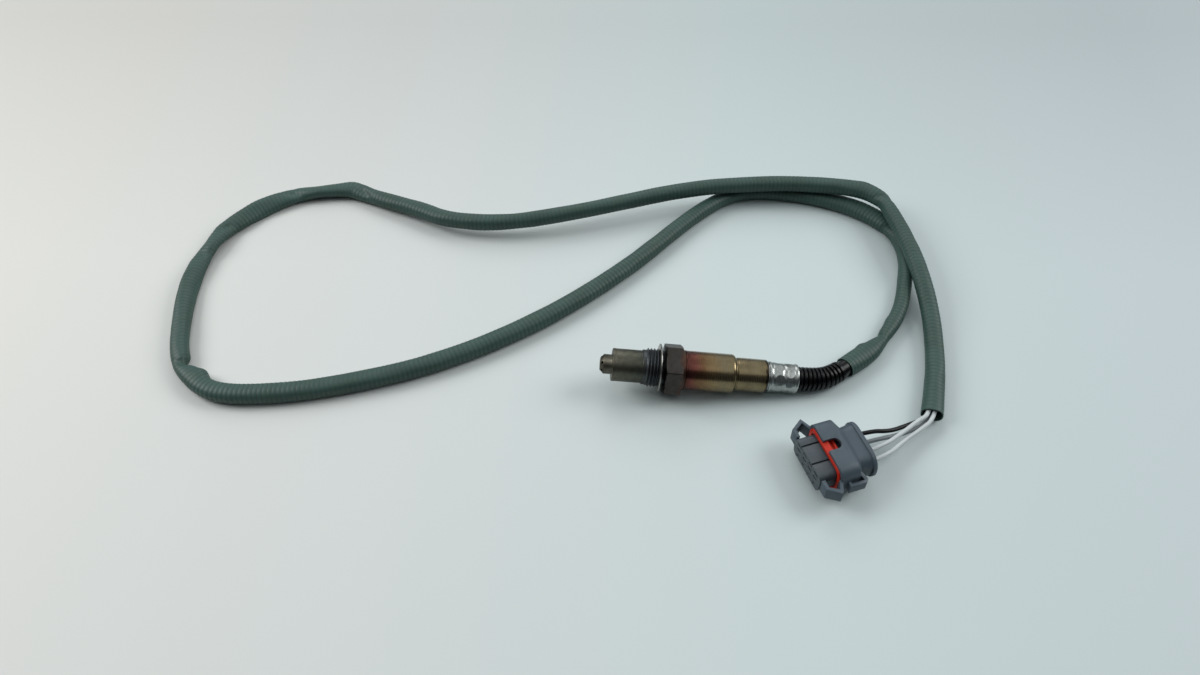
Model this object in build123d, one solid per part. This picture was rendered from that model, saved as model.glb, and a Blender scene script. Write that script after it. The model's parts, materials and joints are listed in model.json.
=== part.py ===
"""Four-wire exhaust oxygen sensor with its sleeved cable and its plug, lying at rest on a flat surface.

The probe is modelled along its own axis, from the tip at x = 0 to the crimped end, and then laid down on a
corner of its hexagon and on the rim of its ferrule. Millimetres; +Z up; the origin is on the surface under
the middle of the probe, and +X runs along the probe from the tip to the cable.
"""
from build123d import *
import math
import os

# ---- probe, along its axis -------------------------------------------------------------------------------
nub_d = 9.2                   # nose of the inner protection tube
nub_length = 5.4
nub_chamfer = 1.7
gas_hole_d = 1.3
gas_holes = 6
tube_wall = 0.5

guard_d = 15.3                # outer protection tube
guard_length = 14.0
guard_wall = 0.6
guard_bead = 0.35             # rolled edge round its front shoulder

thread_d = 18.0               # M18 x 1.5, its crests
thread_relief = 1.9           # plain lead-in before the first turn
lead_in_d = 16.1
lead_slope = 0.9              # length of the slope up to the crests
thread_length = 5.6
undercut_d = 16.2             # groove behind the thread, which keeps the sealing ring
undercut_length = 2.8
spigot_length = 4.0           # front of the shell inside the outer tube
shell_bore_d = 10.6
shell_neck_d = 17.0           # rear neck under the protective sleeve
shell_neck_length = 5.5
seat_depth = 2.6              # seat of the inner tube's flange and the bushes, behind the thread's start

gasket_d = 22.8               # folded sealing ring
gasket_thickness = 1.4
gasket_round = 0.45
gasket_lead = 0.5             # its front face slopes in from outside the thread to its bore
gasket_clearance = 0.15
gasket_play = 0.2             # between the thread's last turn and the ring
gasket_sheet = 0.3            # sheet that the ring is folded from

hex_flats = 22.0
hex_length = 8.1
hex_chamfer_angle = 30.0
hex_face_step = 0.2           # the turned end faces are this much inside the flats
hex_lean = 11.0               # upper corner, past the vertical towards +Y
collar_d = 18.8
collar_length = 1.5

sleeve_d = 18.4               # protective sleeve, large section
sleeve_length = 23.5
sleeve_small_d = 15.7
sleeve_small_length = 15.4
sleeve_wall = 0.7
sleeve_fit = 0.02

ferrule_d = 13.9              # crimped end
ferrule_lip = 0.35            # height of its front rim
ferrule_bead = 0.3            # height of the rolled bead at its end
ferrule_taper = 0.5           # its end is this much smaller
ferrule_length = 13.9         # from its front rim to its end
ferrule_hidden = 5.0          # inside the protective sleeve
bead_back = 0.5               # from the bead's crest to the ferrule's end
ferrule_wall = 0.75
ferrule_gap = 0.7
dents = 8                     # crimp dents in each of the two rings
dent_depth = 0.4
dent_ball_d = 5.0

# ---- inside the probe ------------------------------------------------------------------------------------
element_width = 4.4
element_thickness = 1.6
element_start = 4.2
element_length = 57.0
bush_clearance = 0.1
front_bush_length = 6.0
talc_length = 5.0
rear_bush_length = 7.0
packing_ring_length = 1.2

holder_d = 12.4
holder_length = 13.0
holder_channel = 5.6
holder_overrun = 4.5          # behind the element's end
contact_width = 1.2
contact_thickness = 0.3
barrel_d = 2.7
barrel_length = 4.5
clip_sheet = 0.5
clip_length = 6.0
clip_slot = 3.0
grommet_length = 16.0
grommet_clearance = 0.05

# ---- cable -----------------------------------------------------------------------------------------------
wire_d = 2.0
wire_circle_d = 4.6           # centres of the four wires in the grommet and the boot
wire_clearance = 0.05
hose_d = 9.0
hose_wall = 0.45
mouth_depth = 8.0
socket_depth = 5.0

boot_d = 11.7                 # first rib
boot_end_d = 10.0             # last rib
boot_ribs = 9
boot_rib_width = 1.15
boot_rib_depth = 1.0
boot_bore_d = 6.9
boot_collar = 4.0             # smooth length before the sleeve
boot_insert = 1.8
boot_tail_clearance = 0.1

# ---- plug ------------------------------------------------------------------------------------------------
plug_height = 18.6
collar_width = 30.6           # collar round the front, without the latch bows
collar_depth = 8.8
collar_corner = 5.4
plug_wall = 1.5
neck_width = 22.8
neck_height = 13.4
neck_corner = 5.4
neck_depth = 8.2
neck_step = 3.0
neck_flare = 1.2              # how much it widens towards the flange
flange_width = 26.4
flange_height = 15.6
flange_thickness = 2.0
web_depth = 7.6               # floor of the socket, behind the front edge

slot_width = 5.5
slot_depth = 7.0
slot_offset = -1.0

bow_thickness = 1.6
bow_height = 6.5
bow_rise = 1.2                 # its middle, above the plug's
bow_reach = 5.0               # apex, out from the end of the collar
bow_apex_forward = 2.0
bow_corner_forward = 7.8
bow_corner_reach = 1.0
rail_front = -3.2             # side rail on the near end, from its front post to its rear post
rail_rear = -12.2
rail_reach = 2.4              # its outer face, out from the end of the collar
rail_thickness = 1.4
rail_height = 5.0
rail_rise = 0.6               # its middle, above the plug's
rail_slant = 1.2

cavities = 4
cavity_pitch = 5.0
cavity_size = 3.4
carrier_width = 23.4
carrier_step = 3.4            # narrower by this much inside the neck
carrier_height = 10.2
carrier_corner = 3.0
carrier_front = 8.2           # stands out in front of the collar
carrier_grooves = (-6.2, 3.4)
groove_width = 0.9
groove_depth = 1.1
blade_width = 2.8
blade_height = 0.9
probe_hole = 1.1
seal_depth = 5.6
seal_body = 0.7               # thickness on the carrier
seal_ridge = 1.2              # height of each rib above it
seal_ribs = 2
rim_front = 0.5               # the seal's rim stands this far in front of the collar
rim_length = 2.0
rim_thickness = 1.8
rim_web = 1.0
lock_thickness = 1.2
cap_thickness = 1.6
plug_seal_d = 4.4
plug_seal_length = 4.0
terminal_length = 15.0
terminal_wall = 0.35
plug_fit = 0.1

# Place of the middle of the plug's front edge, and the way that the plug faces
plug_place = (52.2, -46.8)
plug_heading = 199.6

# ---- routes, chosen by hand ------------------------------------------------------------------------------
boot_straight = 9.5            # straight run of the boot behind the ferrule
boot_route = [(65.5, 4.3, 5.55), (76.0, 13.37, 5.05)]
hose_route = [
    (72.2, 10.1, 5.2), (86.0, 22.0, 4.6), (101.0, 38.5, 4.5), (112.2, 66.0, 4.5), (115.5, 98.0, 4.5),
    (105.0, 122.5, 4.5), (80.0, 134.0, 4.5), (50.0, 137.0, 4.5), (24.0, 134.5, 4.5), (2.0, 114.0, 4.5),
    (-32.0, 75.0, 4.5), (-75.0, 36.5, 4.5), (-125.0, 7.0, 4.5), (-178.0, -9.5, 4.5), (-222.0, -14.5, 4.5),
    (-243.0, -2.5, 4.5), (-252.5, 16.0, 4.5), (-259.0, 44.0, 4.5), (-260.5, 75.0, 4.5),
    (-250.0, 103.5, 4.5), (-228.0, 123.5, 4.5), (-192.0, 134.0, 4.6), (-166.0, 121.0, 5.4),
    (-132.0, 105.5, 7.6), (-98.0, 101.0, 10.6), (-52.0, 111.0, 13.6), (0.0, 128.0, 16.6),
    (45.0, 133.6, 17.2), (84.0, 133.5, 17.2), (107.0, 122.5, 17.2), (115.0, 97.0, 16.8),
    (119.0, 66.0, 13.0), (117.5, 33.0, 4.8), (112.0, 3.0, 4.5), (106.7, -18.0, 4.5),
]
wire_names = ["wire_black", "wire_grey", "wire_white_1", "wire_white_2"]
wire_bends = {
    "wire_black": [(104.5, -18.8, 3.5), (93.0, -25.0, 5.4), (84.0, -30.4, 8.4)],
    "wire_grey": [(106.2, -20.4, 3.2), (91.0, -29.9, 5.6)],
    "wire_white_1": [(104.6, -19.0, 6.0), (98.5, -23.3, 7.4), (91.6, -29.4, 8.0)],
    "wire_white_2": [(106.8, -21.0, 5.9), (98.6, -27.8, 6.2), (90.4, -34.0, 6.8)],
}
bundle_offset = 1.25           # each wire from the middle of the sleeve's mouth, both ways
bundle_places = [(1, -1), (-1, -1), (1, 1), (-1, 1)]

# ---- stations along the probe ----------------------------------------------------------------------------
ferrule_end_d = ferrule_d - ferrule_taper
guard_start = nub_length
guard_end = guard_start + guard_length
thread_start = guard_end + thread_relief
thread_end = thread_start + thread_length
gasket_start = thread_end + gasket_play
gasket_end = gasket_start + gasket_thickness
hex_start = thread_end + undercut_length
hex_end = hex_start + hex_length
hex_corner = hex_flats / math.sqrt(3)
hex_slope = math.tan(math.radians(hex_chamfer_angle)) * (hex_corner - hex_flats / 2 + hex_face_step)
collar_end = hex_end + collar_length
sleeve_step = collar_end + sleeve_length
sleeve_end = sleeve_step + sleeve_small_length
ferrule_rim = sleeve_end + ferrule_gap
ferrule_end = ferrule_rim + ferrule_length
neck_end = collar_end + shell_neck_length
seat_start = thread_start + seat_depth
packing_start = seat_start + tube_wall + bush_clearance
talc_start = packing_start + front_bush_length
rear_bush_start = talc_start + talc_length
ring_start = rear_bush_start + rear_bush_length
holder_start = element_start + element_length + holder_overrun - holder_length
holder_end = holder_start + holder_length
grommet_start = ferrule_end - boot_insert - grommet_length

overlap = 0.3                  # how far a turned part runs into the hexagon
wire_offset = wire_circle_d / 2 / math.sqrt(2)
wire_sides = [(1, 1), (-1, 1), (1, -1), (-1, -1)]
parts = {}


# ---- helpers ---------------------------------------------------------------------------------------------
def turned(points):
    """A solid of revolution about the probe's axis, from (station, radius) corners."""
    outline = make_face(Polyline(*[(x, r, 0) for x, r in points], close=True))
    return revolve(outline, axis=Axis.X)


def rod(start, end, radius, y=0.0, z=0.0):
    """A round bar along the probe's axis."""
    bar = Cylinder(radius, end - start, align=(Align.CENTER, Align.CENTER, Align.MIN))
    return Pos(start, y, z) * Rot(0, 90, 0) * bar


def block(start, end, width, height, y=0.0, z=0.0):
    """A box along the probe's or the plug's axis."""
    middle = (start + end) / 2
    return Pos(middle, y, z) * Box(end - start, width, height)


def bend_radii(points):
    """For each corner, 0.45 of its shorter run over the tangent of half its turn."""
    radii = []
    corners = [Vector(*p) for p in points]
    for before, corner, after in zip(corners, corners[1:], corners[2:]):
        turn = (corner - before).get_angle(after - corner)
        run = min((corner - before).length, (after - corner).length)
        radii.append(0.45 * run / math.tan(math.radians(turn / 2)))
    return radii


def route_line(points):
    """Straight runs joined by tangent arcs."""
    return FilletPolyline(*points, radius=bend_radii(points))


def tube_along(path, radius):
    """A plain round tube along a path."""
    section = Plane(origin=path @ 0, z_dir=path % 0) * Circle(radius)
    return sweep(section, path=path)


def offset_route(points, side, rise):
    """The route moved sideways and upwards, mitred at its corners."""
    corners = [Vector(*p) for p in points]
    moved = []
    for i, corner in enumerate(corners):
        into = (corners[max(i, 1)] - corners[max(i, 1) - 1]).normalized()
        last = min(i, len(corners) - 2)
        out = (corners[last + 1] - corners[last]).normalized()
        along = (into + out).normalized()
        left = Vector(0, 0, 1).cross(along).normalized()
        up = along.cross(left)
        mitre = 1 / math.cos(math.radians(into.get_angle(out) / 2))
        place = corner + left * side * mitre + up * rise
        moved.append((place.X, place.Y, place.Z))
    return moved


# ---- probe -----------------------------------------------------------------------------------------------
def make_inner_tube():
    """Drawn steel tube round the sensing tip, with gas holes in its cone."""
    r = nub_d / 2
    flange = shell_bore_d / 2 - bush_clearance
    outer = [(0, 0), (0, r - nub_chamfer), (nub_chamfer, r), (seat_start, r), (seat_start, flange),
             (seat_start + tube_wall, flange), (seat_start + tube_wall, 0)]
    inner = [(tube_wall, 0), (tube_wall, r - nub_chamfer - tube_wall / 2),
             (nub_chamfer + tube_wall / 2, r - tube_wall), (seat_start + 2 * tube_wall, r - tube_wall),
             (seat_start + 2 * tube_wall, 0)]
    tube = turned(outer) - turned(inner)
    for i in range(gas_holes):
        hole = Rot(360 / gas_holes * (i + 0.5), 0, 0) * Pos(nub_chamfer / 2, 0, r - nub_chamfer / 2)
        tube -= hole * Rot(0, -45, 0) * Cylinder(gas_hole_d / 2, 4 * tube_wall)
    return tube


def make_guard_tube():
    """Outer protection tube: a cup with a rolled front shoulder."""
    r = guard_d / 2
    bore = r - guard_wall
    hole = nub_d / 2 + 0.05
    profile = [(guard_start, hole), (guard_start, r - 1.0), (guard_start + 0.3, r - 0.1),
               (guard_start + 0.7, r + guard_bead / 2), (guard_start + 1.3, r + guard_bead / 2),
               (guard_start + 1.8, r - 0.1), (guard_end, r), (guard_end, bore),
               (guard_start + guard_wall, bore), (guard_start + guard_wall, hole)]
    return turned(profile)


def make_hex_shell():
    """Threaded steel body: spigot, thread, sealing shoulder, hexagon, collar and rear neck."""
    r = thread_d / 2
    bore = shell_bore_d / 2
    spigot = guard_d / 2 - guard_wall - sleeve_fit
    lead = lead_in_d / 2
    tip_bore = nub_d / 2 + 0.1
    profile = [(guard_end - spigot_length, tip_bore), (guard_end - spigot_length, spigot - 0.4),
               (guard_end - spigot_length + 0.4, spigot), (guard_end, spigot), (guard_end, lead),
               (thread_start - lead_slope, lead), (thread_start, r), (thread_end, r),
               (thread_end, undercut_d / 2), (hex_start + overlap, undercut_d / 2), (hex_start + overlap, r),
               (hex_end - overlap, r), (hex_end - overlap, collar_d / 2),
               (collar_end - 0.4, collar_d / 2), (collar_end, collar_d / 2 - 0.4),
               (collar_end, shell_neck_d / 2), (neck_end - 0.6, shell_neck_d / 2),
               (neck_end, shell_neck_d / 2 - 0.6), (neck_end, bore), (seat_start, bore),
               (seat_start, tip_bore)]
    corner = hex_corner
    prism = Plane(origin=(hex_start, 0, 0), x_dir=(0, 0, 1), z_dir=(1, 0, 0))
    prism = extrude(prism * Rot(0, 0, -hex_lean) * RegularPolygon(corner, 6), hex_length)
    face_r = hex_flats / 2 - hex_face_step
    cone = turned([(hex_start, 0), (hex_start, face_r), (hex_start + hex_slope, corner),
                   (hex_end - hex_slope, corner), (hex_end, face_r), (hex_end, 0)])
    hexagon = (prism & cone) - rod(hex_start - 1, hex_end + 1, undercut_d / 2)
    return turned(profile) + hexagon


def make_gasket():
    """Sealing ring folded from sheet, open at its bore."""
    inner = undercut_d / 2 + gasket_clearance
    outer = gasket_d / 2
    edge = gasket_round
    face = thread_d / 2 + gasket_clearance
    ring = turned([(gasket_start + gasket_lead, inner), (gasket_start, face), (gasket_start, outer - edge),
                   (gasket_start + edge, outer), (gasket_end - edge, outer), (gasket_end, outer - edge),
                   (gasket_end, inner)])
    deep = outer - edge - gasket_sheet
    front = gasket_start + gasket_lead + gasket_sheet
    fold = turned([(front, inner - 1), (front, deep), (gasket_end - gasket_sheet, deep),
                   (gasket_end - gasket_sheet, inner - 1)])
    return ring - fold


def make_sleeve():
    """Protective sleeve: a drawn, stepped tube, curled in at its rear end."""
    r = sleeve_d / 2
    small = sleeve_small_d / 2
    wall = sleeve_wall
    neck = small - 0.35
    inner_large = shell_neck_d / 2 + sleeve_fit
    inner_small = small - wall
    mouth = ferrule_d / 2 + 0.1
    step = sleeve_step
    profile = [(collar_end, inner_large), (collar_end, r + 0.1), (step - 1.6, r - 0.1), (step - 0.5, r - 0.6),
               (step, small + 0.1), (step + 0.2, neck), (step + 1.0, neck), (step + 1.5, small),
               (sleeve_end - 1.2, small), (sleeve_end - 0.35, small - 0.35), (sleeve_end, mouth + 0.25),
               (sleeve_end, mouth), (sleeve_end - 0.7, mouth), (sleeve_end - 1.4, inner_small),
               (step + 1.2, inner_small), (step + 0.9, neck - wall), (step - 0.4, neck - wall),
               (step - 1.9, inner_large)]
    return turned(profile)


def make_ferrule():
    """Crimp ferrule: a thin cup with two rings of dents and a rim at each end."""
    r = ferrule_d / 2
    rim = r + ferrule_lip
    end = ferrule_end_d / 2
    start = ferrule_rim - ferrule_hidden
    profile = [(start, r - ferrule_wall), (start, r - 0.2), (ferrule_rim - 0.1, r - 0.2),
               (ferrule_rim, rim - 0.35), (ferrule_rim + 0.4, rim), (ferrule_rim + 1.1, rim),
               (ferrule_rim + 1.6, r), (ferrule_end - 1.8, end + 0.1),
               (ferrule_end - 1.4, end + ferrule_bead), (ferrule_end - bead_back, end + ferrule_bead),
               (ferrule_end, end - 0.15), (ferrule_end, end - ferrule_wall),
               (ferrule_rim + 1.6, r - ferrule_wall)]
    ferrule = turned(profile)
    for ring, place in enumerate((0.34, 0.68)):
        for i in range(dents):
            turn = 360 / dents * (i + 0.5 * ring)
            centre = Pos(ferrule_rim + ferrule_length * place, 0, r + dent_ball_d / 2 - dent_depth)
            ferrule -= Rot(turn, 0, 0) * centre * Sphere(dent_ball_d / 2)
    return ferrule


# ---- inside the probe ------------------------------------------------------------------------------------
def bush(start, length, outer):
    """A ring with the element's slot through it."""
    slot = block(start - 1, start + length + 1, element_width + 2 * bush_clearance,
                 element_thickness + 2 * bush_clearance)
    return rod(start, start + length, outer) - slot


def make_holder():
    """Ceramic holder round the contacts."""
    body = rod(holder_start, holder_end, holder_d / 2)
    body = chamfer(body.edges().filter_by(GeomType.CIRCLE), 0.5)
    return body - block(holder_start - 1, holder_end + 1, holder_channel, holder_channel)


def make_clip():
    """Spring ring that centres the holder in the sleeve, split along one side."""
    inner = holder_d / 2 + 0.1
    outer = sleeve_d / 2 - sleeve_wall - 0.15
    start = holder_start + 2.5
    mid = start + clip_length / 2
    end = start + clip_length
    band = turned([(start, inner), (start, inner + clip_sheet), (mid - 1, outer), (mid + 1, outer),
                   (end, inner + clip_sheet), (end, inner), (mid + 1 - 0.2, outer - clip_sheet),
                   (mid - 1 + 0.2, outer - clip_sheet)])
    return band - block(start - 1, end + 1, clip_slot, sleeve_d, z=sleeve_d / 2)


def make_contact(side, up):
    """Contact spring that presses on the element, with the crimp barrel of its wire."""
    touch = element_thickness / 2 + 0.02
    high = wire_offset
    x = holder_start
    t = contact_thickness
    low = [(x, touch + 1.0), (x + 3, touch), (x + 5, touch), (x + 9, high - t / 2),
           (holder_end + 1.2, high - t / 2)]
    strip = [(px, pz) for px, pz in low] + [(px, pz + t) for px, pz in reversed(low)]
    face = make_face(Polyline(*[(px, 0, pz) for px, pz in strip], close=True))
    y = wire_offset
    blade = Pos(0, y - contact_width / 2, 0) * extrude(face, contact_width, dir=(0, 1, 0))
    start = holder_end + 0.6
    barrel = rod(start, start + barrel_length, barrel_d / 2, y, high)
    barrel -= rod(start + 0.8, start + barrel_length + 1, wire_d / 2 + wire_clearance, y, high)
    contact = blade + barrel
    if up < 0:
        contact = mirror(contact, Plane.XY)
    if side < 0:
        contact = mirror(contact, Plane.XZ)
    return contact


def make_grommet():
    """Rubber plug in the ferrule, with a hole for each wire."""
    outer = ferrule_end_d / 2 - ferrule_wall - dent_depth / 4 - grommet_clearance
    plug = rod(grommet_start, grommet_start + grommet_length, outer)
    for side, up in wire_sides:
        plug -= rod(grommet_start - 1, grommet_start + grommet_length + 1, wire_d / 2 + wire_clearance,
                    side * wire_offset, up * wire_offset)
    return plug


def make_probe():
    """Every piece of the probe, along its own axis."""
    bore = shell_bore_d / 2 - bush_clearance
    packing = ring_start + packing_ring_length
    ring_bore = element_width / 2 + 0.6
    ring = rod(ring_start, packing, bore) - rod(ring_start - 1, packing + 1, ring_bore)
    element = block(element_start, element_start + element_length, element_width, element_thickness)
    return {
        "inner_protection_tube": make_inner_tube(),
        "outer_protection_tube": make_guard_tube(),
        "hex_shell": make_hex_shell(),
        "gasket_ring": make_gasket(),
        "protective_sleeve": make_sleeve(),
        "crimp_ferrule": make_ferrule(),
        "sensor_element": element,
        "front_ceramic_bush": bush(packing_start, front_bush_length, bore),
        "talc_packing": bush(talc_start, talc_length, bore),
        "rear_ceramic_bush": bush(rear_bush_start, rear_bush_length, bore),
        "packing_ring": ring,
        "contact_holder": make_holder(),
        "holder_clip": make_clip(),
        "contact_springs": [make_contact(*place) for place in wire_sides],
        "cable_grommet": make_grommet(),
    }


# ---- laying the probe down -------------------------------------------------------------------------------
hex_reach = hex_corner * math.cos(math.radians(hex_lean))
rest_span = (ferrule_end - bead_back) - (hex_end - hex_slope)
rest_drop = hex_reach - (ferrule_end_d / 2 + ferrule_bead)
rest_tilt = math.degrees(math.atan(rest_drop / rest_span))


def solids_of(piece):
    """The solids of a piece, alone or in a group."""
    items = piece if isinstance(piece, (list, tuple)) else [piece]
    return [solid for item in items for solid in item.solids()]


probe = make_probe()
lean = Rot(0, rest_tilt, 0)
leant = Compound(children=[lean * s for piece in probe.values() for s in solids_of(piece)])
box = leant.bounding_box()
lay = Pos(-(box.min.X + box.max.X) / 2, 0, -box.min.Z) * lean
for name, piece in probe.items():
    parts[name] = [lay * s for s in solids_of(piece)]


def on_axis(station):
    """The point of the laid probe's axis at a station."""
    place = (lay * Pos(station, 0, 0)).position
    return (place.X, place.Y, place.Z)


# ---- boot, sleeve and wires ------------------------------------------------------------------------------
def boot_points():
    """The boot's route: straight out of the ferrule, then round to the sleeve."""
    return [on_axis(ferrule_end - boot_insert), on_axis(ferrule_end + boot_straight)] + boot_route


def make_boot():
    """Corrugated rubber bend protection between the ferrule and the sleeve."""
    path = route_line(boot_points())
    valley = boot_d / 2 - boot_rib_depth
    tail = hose_d / 2 - hose_wall - boot_tail_clearance
    root = boot_insert / path.length
    ribs_end = 1 - (socket_depth + boot_collar) / path.length
    boot = tube_along(path, tail)
    for i in range(boot_ribs):
        share = i / (boot_ribs - 1)
        place = root + (ribs_end - root) * share + 0.6 * boot_rib_width / path.length
        radius = (boot_d + (boot_end_d - boot_d) * share) / 2
        section = Plane(origin=path @ place, z_dir=path % place)
        boot += section * Cylinder(radius, boot_rib_width)
    core_end = 1 - socket_depth / path.length
    for i in range(boot_ribs + 1):
        a = root * 0.2 + (core_end - root * 0.2) * i / (boot_ribs + 1)
        b = root * 0.2 + (core_end - root * 0.2) * (i + 1) / (boot_ribs + 1)
        middle = Plane(origin=path @ ((a + b) / 2), z_dir=path % ((a + b) / 2))
        radius = valley + (boot_end_d / 2 - boot_rib_depth - valley) * i / boot_ribs
        boot += middle * Cylinder(radius, (b - a) * path.length + 0.12)
    return boot - tube_along(path, boot_bore_d / 2)


def make_hose():
    """Sleeve with its bundle, filled where nothing can be seen, open at both ends."""
    path = route_line(hose_route)
    hose = tube_along(path, hose_d / 2)
    bore = hose_d / 2 - hose_wall
    mouth = Plane(origin=path @ 1, z_dir=(path % 1) * -1)
    socket = Plane(origin=path @ 0, z_dir=path % 0)
    low = (Align.CENTER, Align.CENTER, Align.MIN)
    hose -= mouth * Cylinder(bore, mouth_depth, align=low)
    hose -= socket * Cylinder(bore, socket_depth + 0.1, align=low)
    length = path.length
    print("hose length", round(length, 1), "radii", [round(r) for r in bend_radii(hose_route)])
    print("hose volume over section x length", round(tube_along(path, hose_d / 2).volume
                                                     / (math.pi * hose_d ** 2 / 4 * length), 4))
    return hose


def make_inner_wire(side, up):
    """The wire from its crimp barrel, through grommet and boot, to the bundle in the sleeve."""
    points = [on_axis(holder_end + 1.5)] + boot_points()[1:]
    return tube_along(route_line(offset_route(points, side * wire_offset, up * wire_offset)), wire_d / 2)


def plug_point(forward, along, height):
    """A point of the plug, from its own axes."""
    a = math.radians(plug_heading)
    x = plug_place[0] + forward * math.cos(a) - along * math.sin(a)
    y = plug_place[1] + forward * math.sin(a) + along * math.cos(a)
    return (x, y, height)


def cavity_place(i):
    """Distance of a cavity from the plug's middle."""
    return (i - (cavities - 1) / 2) * cavity_pitch


def make_outer_wire(i, name):
    """The wire from the bundle, out of the sleeve's mouth, to its terminal in the plug."""
    end = Vector(*hose_route[-1])
    back = (Vector(*hose_route[-2]) - end).normalized()
    side, up = bundle_places[i]
    left = Vector(0, 0, 1).cross(back).normalized()
    shift = (left * side + Vector(0, 0, 1) * up) * bundle_offset
    first = end + back * (mouth_depth - 0.1) + shift
    rear = -(collar_depth + neck_depth + flange_thickness)
    along = cavity_place(i)
    approach = plug_point(rear - 7.0, along, plug_height / 2)
    crimp = plug_point(terminal_back + 2.6, along, plug_height / 2)
    points = [(first.X, first.Y, first.Z)] + wire_bends[name] + [approach, crimp]
    path = route_line(points)
    print(name, "length", round(path.length, 1), "radii", [round(r, 1) for r in bend_radii(points)])
    return tube_along(path, wire_d / 2)


# ---- plug ------------------------------------------------------------------------------------------------
plug_rear = -(collar_depth + neck_depth + flange_thickness)
terminal_front = carrier_front - 3.0
terminal_back = terminal_front - terminal_length
carrier_back = plug_rear + cap_thickness + plug_seal_length + 0.4


def rounded(width, height, corner, x):
    """A rounded rectangle across the plug's axis, at a station."""
    across = Plane(origin=(x, 0, 0), x_dir=(0, 1, 0), z_dir=(1, 0, 0))
    return across * RectangleRounded(width, height, corner)


def barrel_block(start, end, width, height, corner):
    """A rounded bar along the plug's axis."""
    return extrude(rounded(width, height, corner, start), end - start)


def make_bow(sign):
    """Latch bow: a strap from the end of the collar, out to a point and back in front."""
    half = collar_width / 2
    t = bow_thickness
    inner = carrier_width / 2 + 2 * plug_fit
    outline = [(-2 * t, half - plug_wall), (-2 * t, half - plug_fit), (-0.6, half - plug_fit),
               (bow_apex_forward, half + bow_reach), (bow_corner_forward, half + bow_corner_reach),
               (bow_corner_forward, inner), (bow_corner_forward - t, inner),
               (bow_corner_forward - t, half + bow_corner_reach - 0.4 * t),
               (bow_apex_forward + 0.2, half + bow_reach - 1.35 * t), (0.4, half - plug_wall)]
    face = make_face(Polyline(*[(x, y * sign, 0) for x, y in outline], close=True))
    return Pos(0, 0, bow_rise - bow_height / 2) * extrude(face, bow_height, dir=(0, 0, 1))


def make_rail():
    """Side rail: a bar that stands off the near end of the housing on two posts."""
    outer = collar_width / 2 + rail_reach
    inner = outer - rail_thickness
    root = neck_width / 2 - rail_thickness / 2
    post = collar_width / 2 - plug_wall / 2
    outline = [(rail_front, post), (rail_front, outer), (rail_rear + rail_slant, outer),
               (rail_rear, inner), (rail_rear + rail_slant, root),
               (rail_rear + rail_slant + rail_thickness, root),
               (rail_rear + rail_thickness + 0.3, inner), (rail_front - rail_thickness, inner),
               (rail_front - rail_thickness, post)]
    face = make_face(Polyline(*[(x, y, 0) for x, y in outline], close=True))
    return Pos(0, 0, rail_rise - rail_height / 2) * extrude(face, rail_height, dir=(0, 0, 1))


def make_shell():
    """Plug housing: hollow collar with its latch slot and bows, neck, and grip flange."""
    collar_back = -collar_depth
    neck_back = collar_back - neck_depth
    body = barrel_block(collar_back, 0, collar_width, plug_height, collar_corner)
    body = fillet(body.faces().sort_by(Axis.X)[-1].edges(), 0.5)
    taper = loft([rounded(collar_width, plug_height, collar_corner, collar_back),
                  rounded(neck_width, neck_height, neck_corner, collar_back - neck_step)])
    neck = loft([rounded(neck_width, neck_height, neck_corner, collar_back - neck_step),
                 rounded(neck_width + neck_flare, neck_height + neck_flare / 2, neck_corner, neck_back)])
    flange = barrel_block(neck_back - flange_thickness, neck_back, flange_width, flange_height,
                          flange_height / 2 - 0.3)
    flange = fillet(flange.edges().filter_by(Plane.YZ), 0.45)
    shell = body + taper + neck + flange
    inside = barrel_block(-web_depth, 1, collar_width - 2 * plug_wall, plug_height - 2 * plug_wall,
                          collar_corner - plug_wall)
    rear_room = barrel_block(plug_rear - 1, -web_depth + 1, carrier_width - carrier_step + 2 * plug_fit,
                             carrier_height + 2 * plug_fit, carrier_corner)
    shell = shell - inside - rear_room
    shell += make_bow(1) + make_bow(-1) + make_rail()
    slot = block(-slot_depth + slot_width / 2, 2, slot_width, plug_height, slot_offset, plug_height / 2)
    slot_end = Pos(-slot_depth + slot_width / 2, slot_offset, plug_height / 2)
    slot_end = slot_end * Cylinder(slot_width / 2, plug_height)
    return shell - slot - slot_end


def carrier_bar(start, end, shrink):
    """The carrier's own section between two stations."""
    return barrel_block(start, end, carrier_width - shrink, carrier_height, carrier_corner)


def make_carrier():
    """Terminal carrier: a block with a keyed top and four cavities."""
    body = carrier_bar(-web_depth + plug_fit, carrier_front, 0) + carrier_bar(carrier_back, 0, carrier_step)
    for y in carrier_grooves:
        body -= block(-3.5, carrier_front + 1, groove_width, 2 * groove_depth, y, carrier_height / 2)
    for i in range(cavities):
        y = cavity_place(i)
        body -= block(carrier_back - 1, terminal_front, cavity_size, cavity_size, y, 0)
        body -= block(terminal_front - 1, carrier_front + 1, blade_width, blade_height, y, 0.6)
        body -= block(carrier_front - 2.0, carrier_front + 1, probe_hole, probe_hole, y, -3.2)
        body -= block(carrier_front - 1.2, carrier_front + 1, cavity_size, 1.0, y, 3.4)
    lock = make_lock()
    gap = plug_fit
    bounds = lock.bounding_box()
    size = bounds.size
    hole = Pos(bounds.center()) * Box(size.X + 2 * gap, size.Y + 2 * gap, size.Z + 2 * gap)
    return body - hole


def make_lock():
    """Secondary lock: a comb slid in under the terminals."""
    start = terminal_front - 6.0
    width = carrier_width - 5.0
    low = -carrier_height / 2 + lock_thickness / 2
    return block(start, start + 3.0, width, lock_thickness, 0, low + lock_thickness / 2)


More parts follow.
